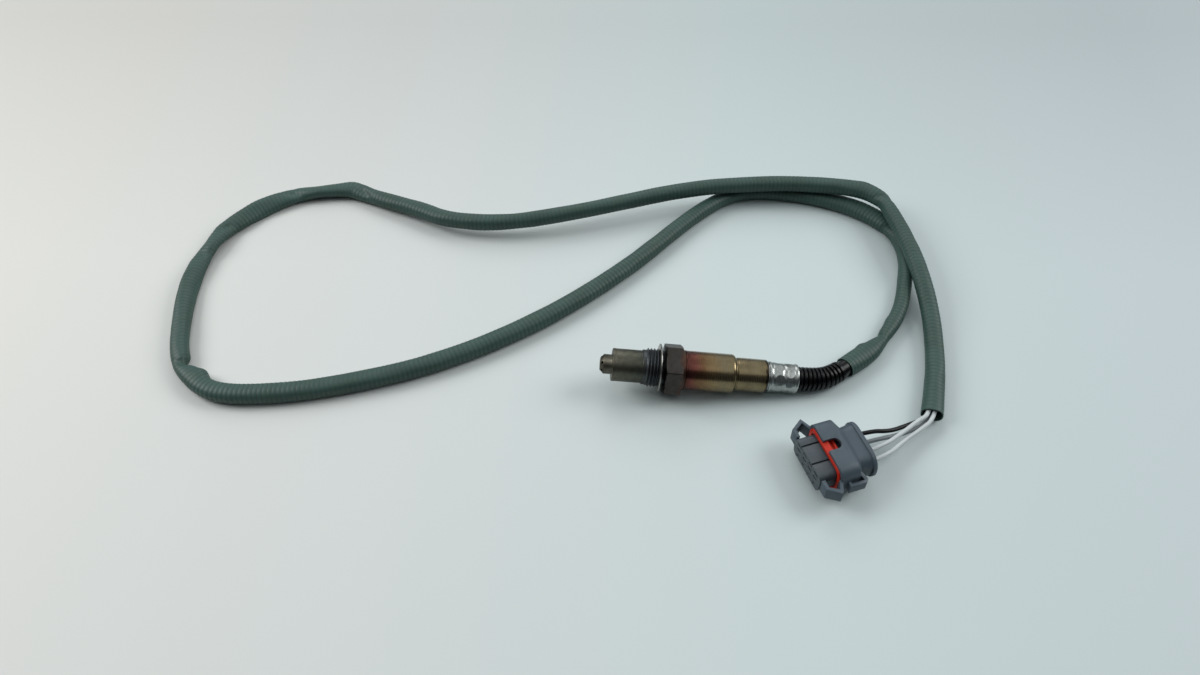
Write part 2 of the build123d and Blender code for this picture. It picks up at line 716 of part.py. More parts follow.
def seal_ring(start, end, inner, outer):
    """A ring round the carrier, between two distances from its faces."""
    hollow = barrel_block(start - 1, end + 1, carrier_width + 2 * inner, carrier_height + 2 * inner,
                          carrier_corner + inner)
    bar = barrel_block(start, end, carrier_width + 2 * outer, carrier_height + 2 * outer,
                       carrier_corner + outer)
    return bar - hollow


def make_carrier_seal():
    """Rubber seal round the carrier: a ribbed body inside the collar, and a rim in its front edge."""
    fit = plug_fit / 2
    web_end = rim_front - rim_length
    start = web_end - seal_depth + rim_web
    seal = seal_ring(start, web_end, fit, seal_body)
    for i in range(seal_ribs):
        x = start + (i + 0.5) * (seal_depth - rim_web) / seal_ribs
        seal += seal_ring(x - 0.5, x + 0.5, seal_body / 2, seal_body + seal_ridge)
    room_width = collar_width - 2 * (plug_wall + plug_fit)
    room_height = plug_height - 2 * (plug_wall + plug_fit)
    room_corner = collar_corner - plug_wall - plug_fit
    filled = barrel_block(web_end - rim_web, rim_front, room_width, room_height, room_corner)
    filled -= barrel_block(web_end, rim_front + 1, room_width - 2 * rim_thickness,
                           room_height - 2 * rim_thickness, room_corner - rim_thickness / 2)
    return seal + (filled - barrel_block(web_end - 2 * rim_web, rim_front + 1, carrier_width + 2 * fit,
                                         carrier_height + 2 * fit, carrier_corner + fit))


def make_cap():
    """Rear grid that keeps the wire seals in."""
    width = carrier_width - carrier_step
    cap = barrel_block(plug_rear, plug_rear + cap_thickness, width, carrier_height, carrier_corner)
    for i in range(cavities):
        cap -= rod(plug_rear - 1, plug_rear + cap_thickness + 1, wire_d / 2 + 0.35, cavity_place(i))
    return cap


def make_terminal(i):
    """Box terminal with its crimp barrel."""
    y = cavity_place(i)
    outer = cavity_size - 2 * plug_fit
    inner = outer - 2 * terminal_wall
    box_back = terminal_front - 8.0
    front = terminal_front - 0.3
    body = block(box_back, front, outer, outer, y) - block(box_back - 1, front + 1, inner, inner, y)
    crimp = rod(terminal_back, box_back + 1.0, wire_d / 2 + wire_clearance + terminal_wall, y)
    crimp -= rod(terminal_back - 1, box_back - 0.6, wire_d / 2 + wire_clearance, y)
    floor = block(box_back - 0.6, box_back + 0.6, inner, inner, y)
    return body + crimp + floor


def make_wire_seal(i):
    """Ribbed rubber plug round a wire."""
    y = cavity_place(i)
    start = plug_rear + cap_thickness + 0.1
    r = plug_seal_d / 2
    ribs = rod(start, start + plug_seal_length, r - 0.3, y)
    for k in range(2):
        x = start + (k + 0.5) * plug_seal_length / 2
        ribs += rod(x - 0.5, x + 0.5, r, y)
    return ribs - rod(start - 1, start + plug_seal_length + 1, wire_d / 2 + wire_clearance, y)


plug_pieces = {
    "connector_shell": make_shell(),
    "terminal_carrier": make_carrier(),
    "carrier_seal": make_carrier_seal(),
    "terminal_lock": make_lock(),
    "connector_rear_cap": make_cap(),
    "connector_terminals": [make_terminal(i) for i in range(cavities)],
    "wire_seals": [make_wire_seal(i) for i in range(cavities)],
}
stand = Pos(plug_place[0], plug_place[1], plug_height / 2) * Rot(0, 0, plug_heading)
for name, piece in plug_pieces.items():
    parts[name] = [stand * s for s in solids_of(piece)]

parts["bend_boot"] = solids_of(make_boot())
parts["cable_sleeve"] = solids_of(make_hose())
for i, name in enumerate(wire_names):
    parts[name] = solids_of([make_inner_wire(*wire_sides[i]), make_outer_wire(i, name)])

# ---- writing ---------------------------------------------------------------------------------------------
os.makedirs("parts", exist_ok=True)
for name, solids in parts.items():
    group = solids[0] if len(solids) == 1 else Compound(children=solids)
    export_step(group, os.path.join("parts", name + ".step"))
print("rest tilt", round(rest_tilt, 2), "nodes", len(parts))
print("thread start on axis", [round(v, 3) for v in on_axis(thread_start)])
print("mid thread on axis", [round(v, 3) for v in on_axis(thread_start + thread_length / 2)])
print("gasket face on axis", [round(v, 3) for v in on_axis(gasket_start)])
print("hexagon centre", [round(v, 3) for v in on_axis((hex_start + hex_end) / 2)])
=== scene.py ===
# Four-wire oxygen sensor on a pale table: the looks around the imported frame
import bpy
import json
import math
import numpy as np
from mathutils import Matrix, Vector


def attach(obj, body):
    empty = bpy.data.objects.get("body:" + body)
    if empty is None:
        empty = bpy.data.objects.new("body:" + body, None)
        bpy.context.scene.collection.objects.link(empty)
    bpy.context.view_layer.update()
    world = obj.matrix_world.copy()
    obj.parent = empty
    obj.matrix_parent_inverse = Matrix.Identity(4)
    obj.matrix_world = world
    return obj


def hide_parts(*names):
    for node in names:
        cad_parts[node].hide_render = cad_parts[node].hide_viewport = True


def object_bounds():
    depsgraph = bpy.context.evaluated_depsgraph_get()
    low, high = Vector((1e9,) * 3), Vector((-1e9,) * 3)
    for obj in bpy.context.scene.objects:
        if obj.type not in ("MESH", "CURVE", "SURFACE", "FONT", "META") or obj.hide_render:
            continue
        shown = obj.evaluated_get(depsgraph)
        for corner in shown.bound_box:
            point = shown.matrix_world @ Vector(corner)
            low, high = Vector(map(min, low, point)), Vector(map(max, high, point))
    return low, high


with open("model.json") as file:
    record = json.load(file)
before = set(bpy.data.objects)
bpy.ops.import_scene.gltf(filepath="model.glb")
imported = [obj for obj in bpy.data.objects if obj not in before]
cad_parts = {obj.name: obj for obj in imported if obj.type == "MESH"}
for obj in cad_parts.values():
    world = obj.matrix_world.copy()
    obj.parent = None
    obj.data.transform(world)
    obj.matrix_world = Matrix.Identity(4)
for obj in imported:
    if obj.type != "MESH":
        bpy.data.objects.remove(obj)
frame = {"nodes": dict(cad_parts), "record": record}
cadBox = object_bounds()
millimetre = 0.001
fullTurn = 2 * math.pi
scene = bpy.context.scene
collection = scene.collection


def hexColour(text):
    # sRGB hex text to linear RGBA
    channels = [int(text[i:i + 2], 16) / 255 for i in (1, 3, 5)]
    return [c / 12.92 if c <= 0.04045 else ((c + 0.055) / 1.055) ** 2.4 for c in channels] + [1.0]


def setInputs(tree, node, settings):
    # a node's properties, input values and links; a node given as a value feeds from its first output
    for name, value in settings.items():
        if isinstance(value, bpy.types.Node):
            value = value.outputs[0]
        if isinstance(name, str) and name not in node.inputs:
            setattr(node, name, value)
        elif isinstance(value, bpy.types.NodeSocket):
            tree.links.new(value, node.inputs[name])
        else:
            node.inputs[name].default_value = value


def addNode(tree, kind, settings):
    # of a Mix node, 0 is the share, 6 and 7 are the colours and output 2 is the mixed colour
    node = tree.nodes.new(kind)
    setInputs(tree, node, settings)
    return node


def setStops(ramp, stops):
    # colours a ramp with (place, hex) stops
    while len(ramp.elements) < len(stops):
        ramp.elements.new(0.5)
    for element, (place, colour) in zip(ramp.elements, stops):
        element.position = place
        element.color = hexColour(colour)


def newMaterial(name, values):
    # a material whose constant values sit on the shader's own sockets
    material = bpy.data.materials.new(name)
    material.use_nodes = True
    tree = material.node_tree
    shader = tree.nodes["Principled BSDF"]
    setInputs(tree, shader, values)
    return material, tree, shader


def newObject(name, data):
    thing = bpy.data.objects.new(name, data)
    collection.objects.link(thing)
    return thing


def meshPiece(name, vertices, faces, material, sharpDegrees=32):
    # a smooth mesh object at the origin, with its sharp edges kept
    mesh = bpy.data.meshes.new(name)
    mesh.from_pydata([tuple(v) for v in vertices], [], [tuple(f) for f in faces])
    mesh.validate()
    mesh.shade_smooth()
    mesh.set_sharp_from_angle(angle=math.radians(sharpDegrees))
    mesh.materials.append(material)
    return newObject(name, mesh)


def gridFaces(rows, columns, closeRows=False):
    # quads of a grid whose columns run round
    faces = []
    for i in range(rows if closeRows else rows - 1):
        below = i * columns
        above = (i + 1) % rows * columns
        for k in range(columns):
            after = (k + 1) % columns
            faces.append((below + k, below + after, above + after, above + k))
    return faces


def finishPiece(piece, node):
    # every piece rides on the one body and stands for its CAD node
    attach(piece, "root")
    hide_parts(node)


# the probe's own axis, from its thread mount
threadMount = [m for m in frame["record"]["mounts"] if m["name"] == "thread"][0]
midThread = Vector(threadMount["pos_m"])
probeAlong = -Vector(threadMount["axis"]).normalized()
probeAcross = Vector((0, 1, 0))
probeUp = probeAlong.cross(probeAcross)
midThreadStation = 24.1   # mm from the tip


def probePoints(stations, radii, angles):
    # grid of points round the probe: mm from the tip, mm from the axis, angle from the top towards +Y
    stations = np.asarray(stations, float)[:, None] * millimetre
    radii = np.asarray(radii, float) * millimetre
    base = np.array(midThread) - midThreadStation * millimetre * np.array(probeAlong)
    along = stations[..., None] * np.array(probeAlong)
    up = (radii * np.cos(angles))[..., None] * np.array(probeUp)
    across = (radii * np.sin(angles))[..., None] * np.array(probeAcross)
    return (base + along + up + across).reshape(-1, 3)


def probeAxisPoint(station):
    return tuple(midThread + (station - midThreadStation) * millimetre * probeAlong)


def roundedProfile(corners, arcSteps):
    # (station, radius, rounding) corners to a profile with its corners rounded off
    points = []
    places = [np.array(c[:2], float) for c in corners]
    for i, corner in enumerate(corners):
        size = corner[2] if len(corner) > 2 else 0
        if size == 0 or i in (0, len(corners) - 1):
            points.append(places[i])
            continue
        before = places[i - 1] - places[i]
        after = places[i + 1] - places[i]
        start = places[i] + before / np.linalg.norm(before) * size
        end = places[i] + after / np.linalg.norm(after) * size
        for t in np.linspace(0, 1, arcSteps):
            points.append((1 - t) ** 2 * start + 2 * t * (1 - t) * places[i] + t ** 2 * end)
    return np.array(points)


def turnedPiece(name, corners, material, around=160, shape=None, arcSteps=5):
    # a closed turned piece; shape(station, radius, angles) may press it out of round
    profile = roundedProfile(corners, arcSteps)
    angles = np.arange(around) / around * fullTurn
    radii = np.repeat(profile[:, 1:2], around, 1)
    if shape:
        radii = shape(profile[:, 0:1], radii, angles[None, :])
    points = probePoints(profile[:, 0], radii, angles)
    faces = [tuple(reversed(f)) for f in gridFaces(len(profile), around, closeRows=True)]
    return meshPiece(name, points, faces, material)


# steels
steelSkin = {"wanderMm": 1.6, "wanderSizeMm": 7.0,   # how far and how wide a heat tint's edge strays
             "stainSizeMm": 2.4, "stainColour": "#2B2620",
             "ringsPerMm": 5.5, "ringDepthMm": 0.03}   # marks of the turning tool or the die


def stationOf(tree):
    # millimetres from the tip along the probe's axis, from Object coordinates
    place = addNode(tree, "ShaderNodeTexCoord", {}).outputs["Object"]
    start = midThread - midThreadStation * millimetre * probeAlong
    offset = addNode(tree, "ShaderNodeVectorMath", {"operation": "SUBTRACT", 0: place, 1: start})
    along = addNode(tree, "ShaderNodeVectorMath", {"operation": "DOT_PRODUCT", 0: offset, 1: probeAlong})
    return addNode(tree, "ShaderNodeMath", {"operation": "MULTIPLY", 0: along.outputs["Value"],
                                            1: 1 / millimetre})


def grain(tree, sizeMm, detail=3.0, roughness=0.55):
    # 3-D noise whose blobs are about that many millimetres wide
    place = addNode(tree, "ShaderNodeTexCoord", {}).outputs["Object"]
    return addNode(tree, "ShaderNodeTexNoise", {"Vector": place, "Scale": 1 / (sizeMm * millimetre),
                                                "Detail": detail, "Roughness": roughness})


def clouded(tree, colour, shade, pattern, low, high, most=1.0, blend="MIX"):
    # a colour that takes up to that much of a shade where the pattern goes from low to high
    share = addNode(tree, "ShaderNodeMapRange", {"Value": pattern, "From Min": low, "From Max": high,
                                                 "To Max": most})
    return addNode(tree, "ShaderNodeMix", {"data_type": "RGBA", "blend_type": blend, 0: share, 6: colour,
                                           7: hexColour(shade)}).outputs[2]


def steelMaterial(name, stops, firstMm, lastMm, roughness, blotch, marks=0.07):
    # steel whose colour runs through stops along the probe, blotched by heat and handling
    material, tree, shader = newMaterial(name, {"Metallic": 1.0})
    station = stationOf(tree)
    wander = addNode(tree, "ShaderNodeMapRange", {
        "Value": grain(tree, steelSkin["wanderSizeMm"]), "From Min": 0.3, "From Max": 0.7,
        "To Min": -steelSkin["wanderMm"], "To Max": steelSkin["wanderMm"]})
    moved = addNode(tree, "ShaderNodeMath", {"operation": "ADD", 0: station, 1: wander})
    share = addNode(tree, "ShaderNodeMapRange", {"Value": moved, "From Min": firstMm, "From Max": lastMm})
    tint = addNode(tree, "ShaderNodeValToRGB", {"Fac": share})
    setStops(tint.color_ramp, stops)
    stained = clouded(tree, tint, steelSkin["stainColour"], grain(tree, steelSkin["stainSizeMm"], 5.0, 0.65),
                      0.35, 0.75, blotch, "MULTIPLY")
    # fine rings: noise that changes only along the axis
    rings = addNode(tree, "ShaderNodeTexNoise", {"noise_dimensions": "1D", "W": station,
                                                 "Scale": steelSkin["ringsPerMm"], "Detail": 3.0})
    gloss = addNode(tree, "ShaderNodeMapRange", {"Value": rings, "From Min": 0.3, "From Max": 0.7,
                                                 "To Min": roughness - 0.06, "To Max": roughness + 0.08})
    relief = addNode(tree, "ShaderNodeBump", {"Height": rings, "Strength": marks,
                                              "Distance": steelSkin["ringDepthMm"] * millimetre})
    setInputs(tree, shader, {"Base Color": stained, "Roughness": gloss, "Normal": relief})
    return material


# deep-drawn stainless steel, baked by exhaust gas: an olive-brown skin that still shines a little
drawnSteelBaked = steelMaterial(
    "drawnSteelBaked", [(0, "#59554B"), (0.35, "#67655A"), (0.7, "#5B5B50"), (1, "#4F514A")],
    firstMm=0, lastMm=20, roughness=0.4, blotch=0.45)
# turned steel, oxidised by heat: dark grey-brown and half matt; the near-black band in the groove before the
# hexagon is painted shade
turnedSteelDark = steelMaterial(
    # the stops from 0.46 to 0.525 are painted shade in the groove between the gasket and the hexagon
    "turnedSteelDark", [(0, "#4A4B47"), (0.1, "#4D5052"), (0.42, "#53575B"), (0.46, "#1D1C1B"),
                        (0.525, "#1D1C1B"), (0.55, "#45413E"), (0.9, "#484441"), (1, "#5A4137")],
    firstMm=19, lastMm=39, roughness=0.4, blotch=0.35)
# bright steel sheet, folded and never heated for long
foldedSteelBright = steelMaterial(
    "foldedSteelBright", [(0, "#9C9B96"), (1, "#98958F")], firstMm=26, lastMm=29, roughness=0.3, blotch=0.25)
# drawn stainless tube with temper colours: plum at the hexagon, straw and olive-gold; the dark band at its
# end is painted shade where it meets the ferrule
drawnSteelTinted = steelMaterial(
    "drawnSteelTinted", [(0, "#4E302B"), (0.09, "#72453E"), (0.2, "#775B42"), (0.32, "#8A7556"),
                         (0.44, "#84785F"), (0.56, "#887A5D"), (0.74, "#7F7259"), (0.85, "#8A7E62"),
                         # the last two stops are painted shade on the turned-in end
                         (0.955, "#7F7256"), (0.975, "#2E2821"), (1, "#2E2821")],
    firstMm=39, lastMm=79, roughness=0.25, blotch=0.2, marks=0.04)
# thin bright steel, pressed by a crimping tool
crimpedSteelBright = steelMaterial(
    "crimpedSteelBright", [(0, "#A9AEAB"), (1, "#B0B3B0")], firstMm=78, lastMm=93, roughness=0.27, blotch=0.3)
# rolled spring strip and tinned bronze, both out of sight
rolledSpringSteel = steelMaterial(
    "rolledSpringSteel", [(0, "#B9B7B0"), (1, "#A9A7A2")], firstMm=30, lastMm=80, roughness=0.3, blotch=0.15)
tinnedBronze = steelMaterial(
    "tinnedBronze", [(0, "#C9C2B2"), (1, "#BDB6A6")], firstMm=30, lastMm=80, roughness=0.35, blotch=0.2)
print("metals ready")


def rubberMaterial(name, colour, roughness, grainMm, bump, shade="#000000", index=1.44):
    # moulded rubber: one colour, faint flow clouds and a fine skin
    material, tree, shader = newMaterial(name, {"Roughness": roughness, "IOR": index})
    mixed = clouded(tree, hexColour(colour), shade, grain(tree, grainMm * 4), 0.3, 0.7, 0.35)
    skin = addNode(tree, "ShaderNodeBump", {"Height": grain(tree, grainMm, 4.0), "Strength": bump,
                                            "Distance": 0.05 * millimetre})
    setInputs(tree, shader, {"Base Color": mixed, "Normal": skin})
    return material


# glossy moulded rubber; its IOR is below the real 1.5, so that the soft light doesn't grey it
mouldedRubberBlack = rubberMaterial("mouldedRubberBlack", "#040406", 0.27, grainMm=0.8, bump=0.2, index=1.33)
# soft silicone, red-orange and half matt
mouldedSiliconeRed = rubberMaterial("mouldedSiliconeRed", "#C0260A", 0.5, grainMm=0.6, bump=0.2,
                                    shade="#8E1206")
# dark fluororubber, out of sight
mouldedRubberGrey = rubberMaterial("mouldedRubberGrey", "#26262A", 0.55, grainMm=0.8, bump=0.3)
# extruded wire coverings: smooth, half matt and even; the black one's IOR is lowered too
extrudedCoverBlack = rubberMaterial("extrudedCoverBlack", "#060507", 0.4, grainMm=1.2, bump=0.15, index=1.36)
extrudedCoverGrey = rubberMaterial("extrudedCoverGrey", "#697073", 0.42, grainMm=1.2, bump=0.15,
                                   shade="#505659")
extrudedCoverWhite = rubberMaterial("extrudedCoverWhite", "#C2C9CA", 0.45, grainMm=1.2, bump=0.15,
                                    shade="#A2A9AA")


def nylonMaterial(name, colour, shade):
    # glass-filled nylon, moulded on a spark-eroded tool: an even, slightly grained, half-matt face
    material, tree, shader = newMaterial(name, {"IOR": 1.53})
    mixed = clouded(tree, hexColour(colour), shade, grain(tree, 6.0), 0.35, 0.65, 0.5)
    gloss = addNode(tree, "ShaderNodeMapRange", {"Value": grain(tree, 1.5), "From Min": 0.3, "From Max": 0.7,
                                                 "To Min": 0.42, "To Max": 0.56})
    # the real grain is 0.05 mm, drawn coarser to show
    skin = addNode(tree, "ShaderNodeBump", {"Height": grain(tree, 0.25, 2.0), "Strength": 0.22,
                                            "Distance": 0.04 * millimetre})
    setInputs(tree, shader, {"Base Color": mixed, "Roughness": gloss, "Normal": skin})
    return material


mouldedNylonBlue = nylonMaterial("mouldedNylonBlue", "#3F4D57", "#39454E")
mouldedNylonGrey = nylonMaterial("mouldedNylonGrey", "#3F484E", "#373F44")


def sleevingMaterial():
    # varnished ribbed sleeving: sage green, duller in its grooves and darkened there with painted shade, worn
    # paler on its crests
    material, tree, shader = newMaterial("varnishedSleevingGreen", {"IOR": 1.45})
    groove = addNode(tree, "ShaderNodeAttribute", {"attribute_name": "groove"}).outputs["Fac"]
    base = clouded(tree, hexColour("#344F49"), "#2D453E", grain(tree, 14.0), 0.3, 0.7)
    worn = clouded(tree, base, "#425A4D", grain(tree, 3.5, 5.0, 0.7), 0.45, 0.8, 0.4)
    # painted shade: the deeper a point lies in a groove, the more it is darkened towards deep green
    ribbed = clouded(tree, worn, "#1F2F2A", groove, 0, 1, 0.4)
    gloss = addNode(tree, "ShaderNodeMapRange", {"Value": groove, "To Min": 0.48, "To Max": 0.62})
    weave = addNode(tree, "ShaderNodeBump", {"Height": grain(tree, 0.5), "Strength": 0.25,
                                             "Distance": 0.06 * millimetre})
    setInputs(tree, shader, {"Base Color": ribbed, "Roughness": gloss, "Normal": weave})
    return material


varnishedSleevingGreen = sleevingMaterial()


def firedMaterial(name, colour, shade, roughness):
    # fired or pressed ceramic: pale, dull and slightly speckled
    material, tree, shader = newMaterial(name, {"Roughness": roughness, "IOR": 1.7})
    speckled = clouded(tree, hexColour(colour), shade, grain(tree, 0.6, 4.0), 0.4, 0.7, 0.6)
    setInputs(tree, shader, {"Base Color": speckled})
    return material


firedAlumina = firedMaterial("firedAlumina", "#E9E5DA", "#D8D2C4", 0.5)
sinteredZirconia = firedMaterial("sinteredZirconia", "#D9D4C8", "#C4BEAF", 0.45)
pressedTalc = firedMaterial("pressedTalc", "#D6D4C6", "#C5C2B2", 0.8)
print("soft and ceramic materials ready")

camera = {"place": (-0.04041, -0.28041, 0.357), "lensMm": 28.5, "downDegrees": 49.0, "turnDegrees": 1.208}
cameraData = bpy.data.cameras.new("camera")
cameraData.sensor_width = 36.0
cameraData.lens = camera["lensMm"]
cameraData.clip_start = 0.01
cameraObject = newObject("camera", cameraData)
cameraObject.location = camera["place"]
cameraObject.rotation_euler.x = math.radians(90 - camera["downDegrees"])
cameraObject.rotation_euler.z = math.radians(camera["turnDegrees"])
scene.camera = cameraObject
print("camera ready")


def nurbsCurve(name, points, resolution):
    # one open NURBS spline through given control points, in metres
    curve = bpy.data.curves.new(name, "CURVE")
    curve.dimensions = "3D"
    spline = curve.splines.new("NURBS")
    spline.points.add(len(points) - 1)
    for control, place in zip(spline.points, points):
        control.co = (*place, 1.0)
    spline.order_u = 3
    spline.use_endpoint_u = True
    spline.resolution_u = resolution
    curve.resolution_u = resolution
    return newObject(name, curve)


def pathOf(points, resolution=40):
    # the points of the spline itself, as a plain curve gives them
    guide = nurbsCurve("guide", points, resolution)
    mesh = bpy.data.meshes.new_from_object(guide)
    path = np.array([v.co for v in mesh.vertices])
    bpy.data.meshes.remove(mesh)
    bpy.data.objects.remove(guide)
    return path


def arcLengths(path):
    return np.concatenate([[0], np.cumsum(np.linalg.norm(np.diff(path, axis=0), axis=1))])


def evenSteps(path, count):
    # the same line in even steps
    arc = arcLengths(path)
    places = np.linspace(0, arc[-1], count)
    return np.stack([np.interp(places, arc, path[:, k]) for k in range(3)], 1)


def sideFrames(path):
    # for each point, the way to its left and the way up
    tangent = np.gradient(path, axis=0)
    tangent /= np.linalg.norm(tangent, axis=1)[:, None]
    left = np.cross([0.0, 0.0, 1.0], tangent)
    left /= np.linalg.norm(left, axis=1)[:, None]
    return left, np.cross(tangent, left)


# the ribbed sleeve, a free cord
sleeve = {
    "route": [
        (0.0705, 0.0088, 0.0052), (0.0777, 0.0146, 0.0046), (0.0847, 0.02, 0.0043),
        (0.092, 0.0286, 0.0037), (0.0995, 0.0393, 0.0037), (0.1055, 0.0509, 0.0039),
        (0.1088, 0.0621, 0.004), (0.1131, 0.0782, 0.004), (0.1142, 0.0918, 0.004),
        (0.1126, 0.1028, 0.004), (0.1084, 0.1119, 0.004), (0.0964, 0.1236, 0.0041),
        (0.0805, 0.1312, 0.004), (0.0613, 0.1363, 0.0041), (0.0406, 0.1385, 0.0041),
        (0.0237, 0.135, 0.0041), (0.0012, 0.1153, 0.0042), (-0.0322, 0.0757, 0.0042),
        (-0.0752, 0.037, 0.0043), (-0.1251, 0.0072, 0.0043), (-0.1781, -0.0092, 0.0043),
        (-0.2116, -0.0128, 0.0043), (-0.2245, -0.0119, 0.0043), (-0.2322, -0.0091, 0.0042),
        (-0.2408, -0.0027, 0.0041), (-0.2471, 0.0047, 0.004), (-0.2514, 0.014, 0.004),
        (-0.2546, 0.0256, 0.004), (-0.2586, 0.0453, 0.0038), (-0.26, 0.059, 0.0036),
        (-0.2602, 0.072, 0.0034), (-0.2577, 0.0876, 0.0035), (-0.2534, 0.1006, 0.0035),
        (-0.2396, 0.1174, 0.0035), (-0.2232, 0.1296, 0.0035), (-0.2084, 0.1331, 0.0036),
        (-0.1913, 0.1356, 0.0039), (-0.1845, 0.1325, 0.0042), (-0.1765, 0.128, 0.0046),
        (-0.1474, 0.1163, 0.0058), (-0.1318, 0.1066, 0.0072), (-0.0981, 0.102, 0.0096),
        (-0.0519, 0.1131, 0.0114), (0.0007, 0.1301, 0.0126), (0.042, 0.1347, 0.0128),
        (0.0637, 0.1349, 0.0128), (0.0835, 0.133, 0.0128), (0.0969, 0.1302, 0.0128),
        (0.105, 0.1239, 0.0128), (0.1085, 0.1149, 0.0127), (0.1114, 0.1026, 0.0125),
        (0.1152, 0.0824, 0.0116), (0.1174, 0.0625, 0.0096), (0.1181, 0.0433, 0.0064),
        (0.1164, 0.0245, 0.0045), (0.1137, 0.0089, 0.0043), (0.1102, -0.005, 0.0043),
        (0.1066, -0.0178, 0.0043)],
    "sections": [   # at each point of the route: wide (mm), thin (mm), roll (degrees)
        (10.2, 9.0, 0), (10.7, 8.8, 8), (9.8, 7.8, 0), (6.4, 6.8, 0), (7.5, 7.1, 0), (7.3, 7.4, 0),
        (7.4, 7.6, 0), (7.6, 7.6, 0), (7.8, 7.4, 0), (8.4, 7.4, -10), (9.8, 7.4, -20), (10.9, 7.8, -12),
        (9.8, 7.9, 0), (8.8, 7.8, 0), (8.6, 7.8, 0), (8.5, 7.8, 0), (8.7, 7.9, 0), (9.3, 8.3, 0),
        (9.6, 8.5, 0), (9.6, 8.5, 0), (9.7, 8.5, 0), (9.8, 8.5, 0), (9.8, 8.4, 0), (9.6, 8.2, 0),
        (9.2, 8.0, 10), (9.0, 7.8, -8), (8.8, 7.8, -10), (9.0, 7.6, -8), (9.5, 7.2, 22), (10.1, 6.5, 34),
        (9.8, 6.2, 0), (10.4, 6.2, -34), (10.2, 6.2, 0), (10.8, 6.2, 36), (10.2, 6.2, 0),
        (10.6, 6.4, -34), (10.6, 7.2, -10), (9.8, 7.0, 26), (8.5, 7.2, 30), (9.2, 8.4, 0), (9.0, 8.3, 0),
        (8.4, 8.2, 0), (8.3, 8.1, 0), (8.4, 8.2, 0), (8.4, 8.2, 0), (8.4, 8.2, 0), (8.8, 8.4, 0),
        (9.5, 8.4, 10), (9.0, 8.2, 14), (8.0, 7.8, 0), (8.0, 7.8, -10), (8.8, 8.2, 0), (8.8, 8.3, 0),
        (8.9, 8.3, 0), (9.0, 8.3, 0), (9.2, 8.4, 0), (9.6, 8.5, 0), (10.4, 8.5, 0)],
    "folds": [   # place, angle from the left side, spread, out (mm), reach (mm), skew
        ((-0.2451, 0.0042), 180, 70, -4.4, 2.8, 0.0), ((-0.238, -0.005), 172, 52, 2.2, 4.6, 0.0),
        ((-0.2451, 0.0042), 80, 50, -1.0, 2.0, 0.9), ((-0.2594, 0.079), 112, 60, -1.3, 3.4, -0.3),
        ((-0.26, 0.0735), 0, 40, 0.5, 3.0, 0.0), ((-0.2532, 0.1004), 118, 60, -1.4, 3.4, -0.7),
        ((-0.254, 0.099), 0, 40, 0.5, 3.0, 0.0), ((-0.2228, 0.1286), 118, 60, -1.4, 3.4, -0.9),
        ((-0.2215, 0.1292), 20, 40, -0.3, 2.0, 0.0), ((-0.183, 0.1318), 108, 60, -1.5, 3.6, -1.4),
        ((-0.1913, 0.1351), 0, 45, 0.6, 3.5, 0.0), ((0.0825, 0.0185), 15, 50, 0.9, 3.0, 0.0),
        ((0.0905, 0.0272), 0, 60, -0.8, 3.0, 0.0), ((0.0905, 0.0272), 70, 50, -0.8, 1.8, 0.6),
        ((0.099, 0.0385), 5, 50, 0.35, 3.0, 0.0), ((0.1105, 0.1075), 60, 70, -1.2, 2.2, 0.5),
        ((0.097, 0.1305), 0, 50, 0.9, 3.6, 0.0), ((0.1075, 0.1185), 180, 60, -1.1, 4.0, 0.0),
        ((0.1065, 0.1215), 90, 60, -0.9, 2.0, 0.8)],
    "ribPitchMm": 2.2, "ribDepthMm": 0.15, "stepsPerRib": 6, "grooveShare": 0.17, "around": 26,
    "squareness": 2.25,   # 2 is an ellipse, and more is squarer
    "softenSteps": 19,   # the sections run into each other over this many rings
    "ribSwing": {"seed": 4, "spanM": 0.03, "mean": 0.8, "swing": 0.35},
    "ripple": {"seed": 10, "spanM": 0.011, "turnSeed": 20, "turnSpanM": 0.04, "mm": 0.09, "lobes": (2, 3, 4)},
    "wallMm": 0.55, "mouthDepthMm": 14.0, "mouthStride": 6, "tuckShares": (0.9, 0.885), "tuckStep": 4,
    "clearM": 0.00005,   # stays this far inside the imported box, so it lies on the table
    "lengthM": 1.16, "diameterM": 0.009}


def smoothNoise(places, seed, span):
    # a slow random swing along the sleeve, from -1 to 1
    generator = np.random.default_rng(seed)
    knots = np.arange(places[0], places[-1] + 2 * span, span)
    values = generator.uniform(-1, 1, len(knots))
    share = np.clip((places - knots[0]) / span, 0, len(knots) - 1.001)
    low = share.astype(int)
    ease = (share - low) ** 2 * (3 - 2 * (share - low))
    return values[low] * (1 - ease) + values[low + 1] * ease


def sleeveSections(path, arc):
    # width, thickness and roll at each ring, from those at the route's points
    places = [arc[np.argmin(np.linalg.norm(path - np.array(point), axis=1))] for point in sleeve["route"]]
    places[0] = 0
    places[-1] = arc[-1]
    given = np.array(sleeve["sections"], float)
    steps = sleeve["softenSteps"]
    soften = np.hanning(steps)
    soften /= soften.sum()
    return [np.convolve(np.pad(np.interp(arc, places, given[:, k]), steps // 2, "edge"), soften, "valid")
            for k in range(3)]


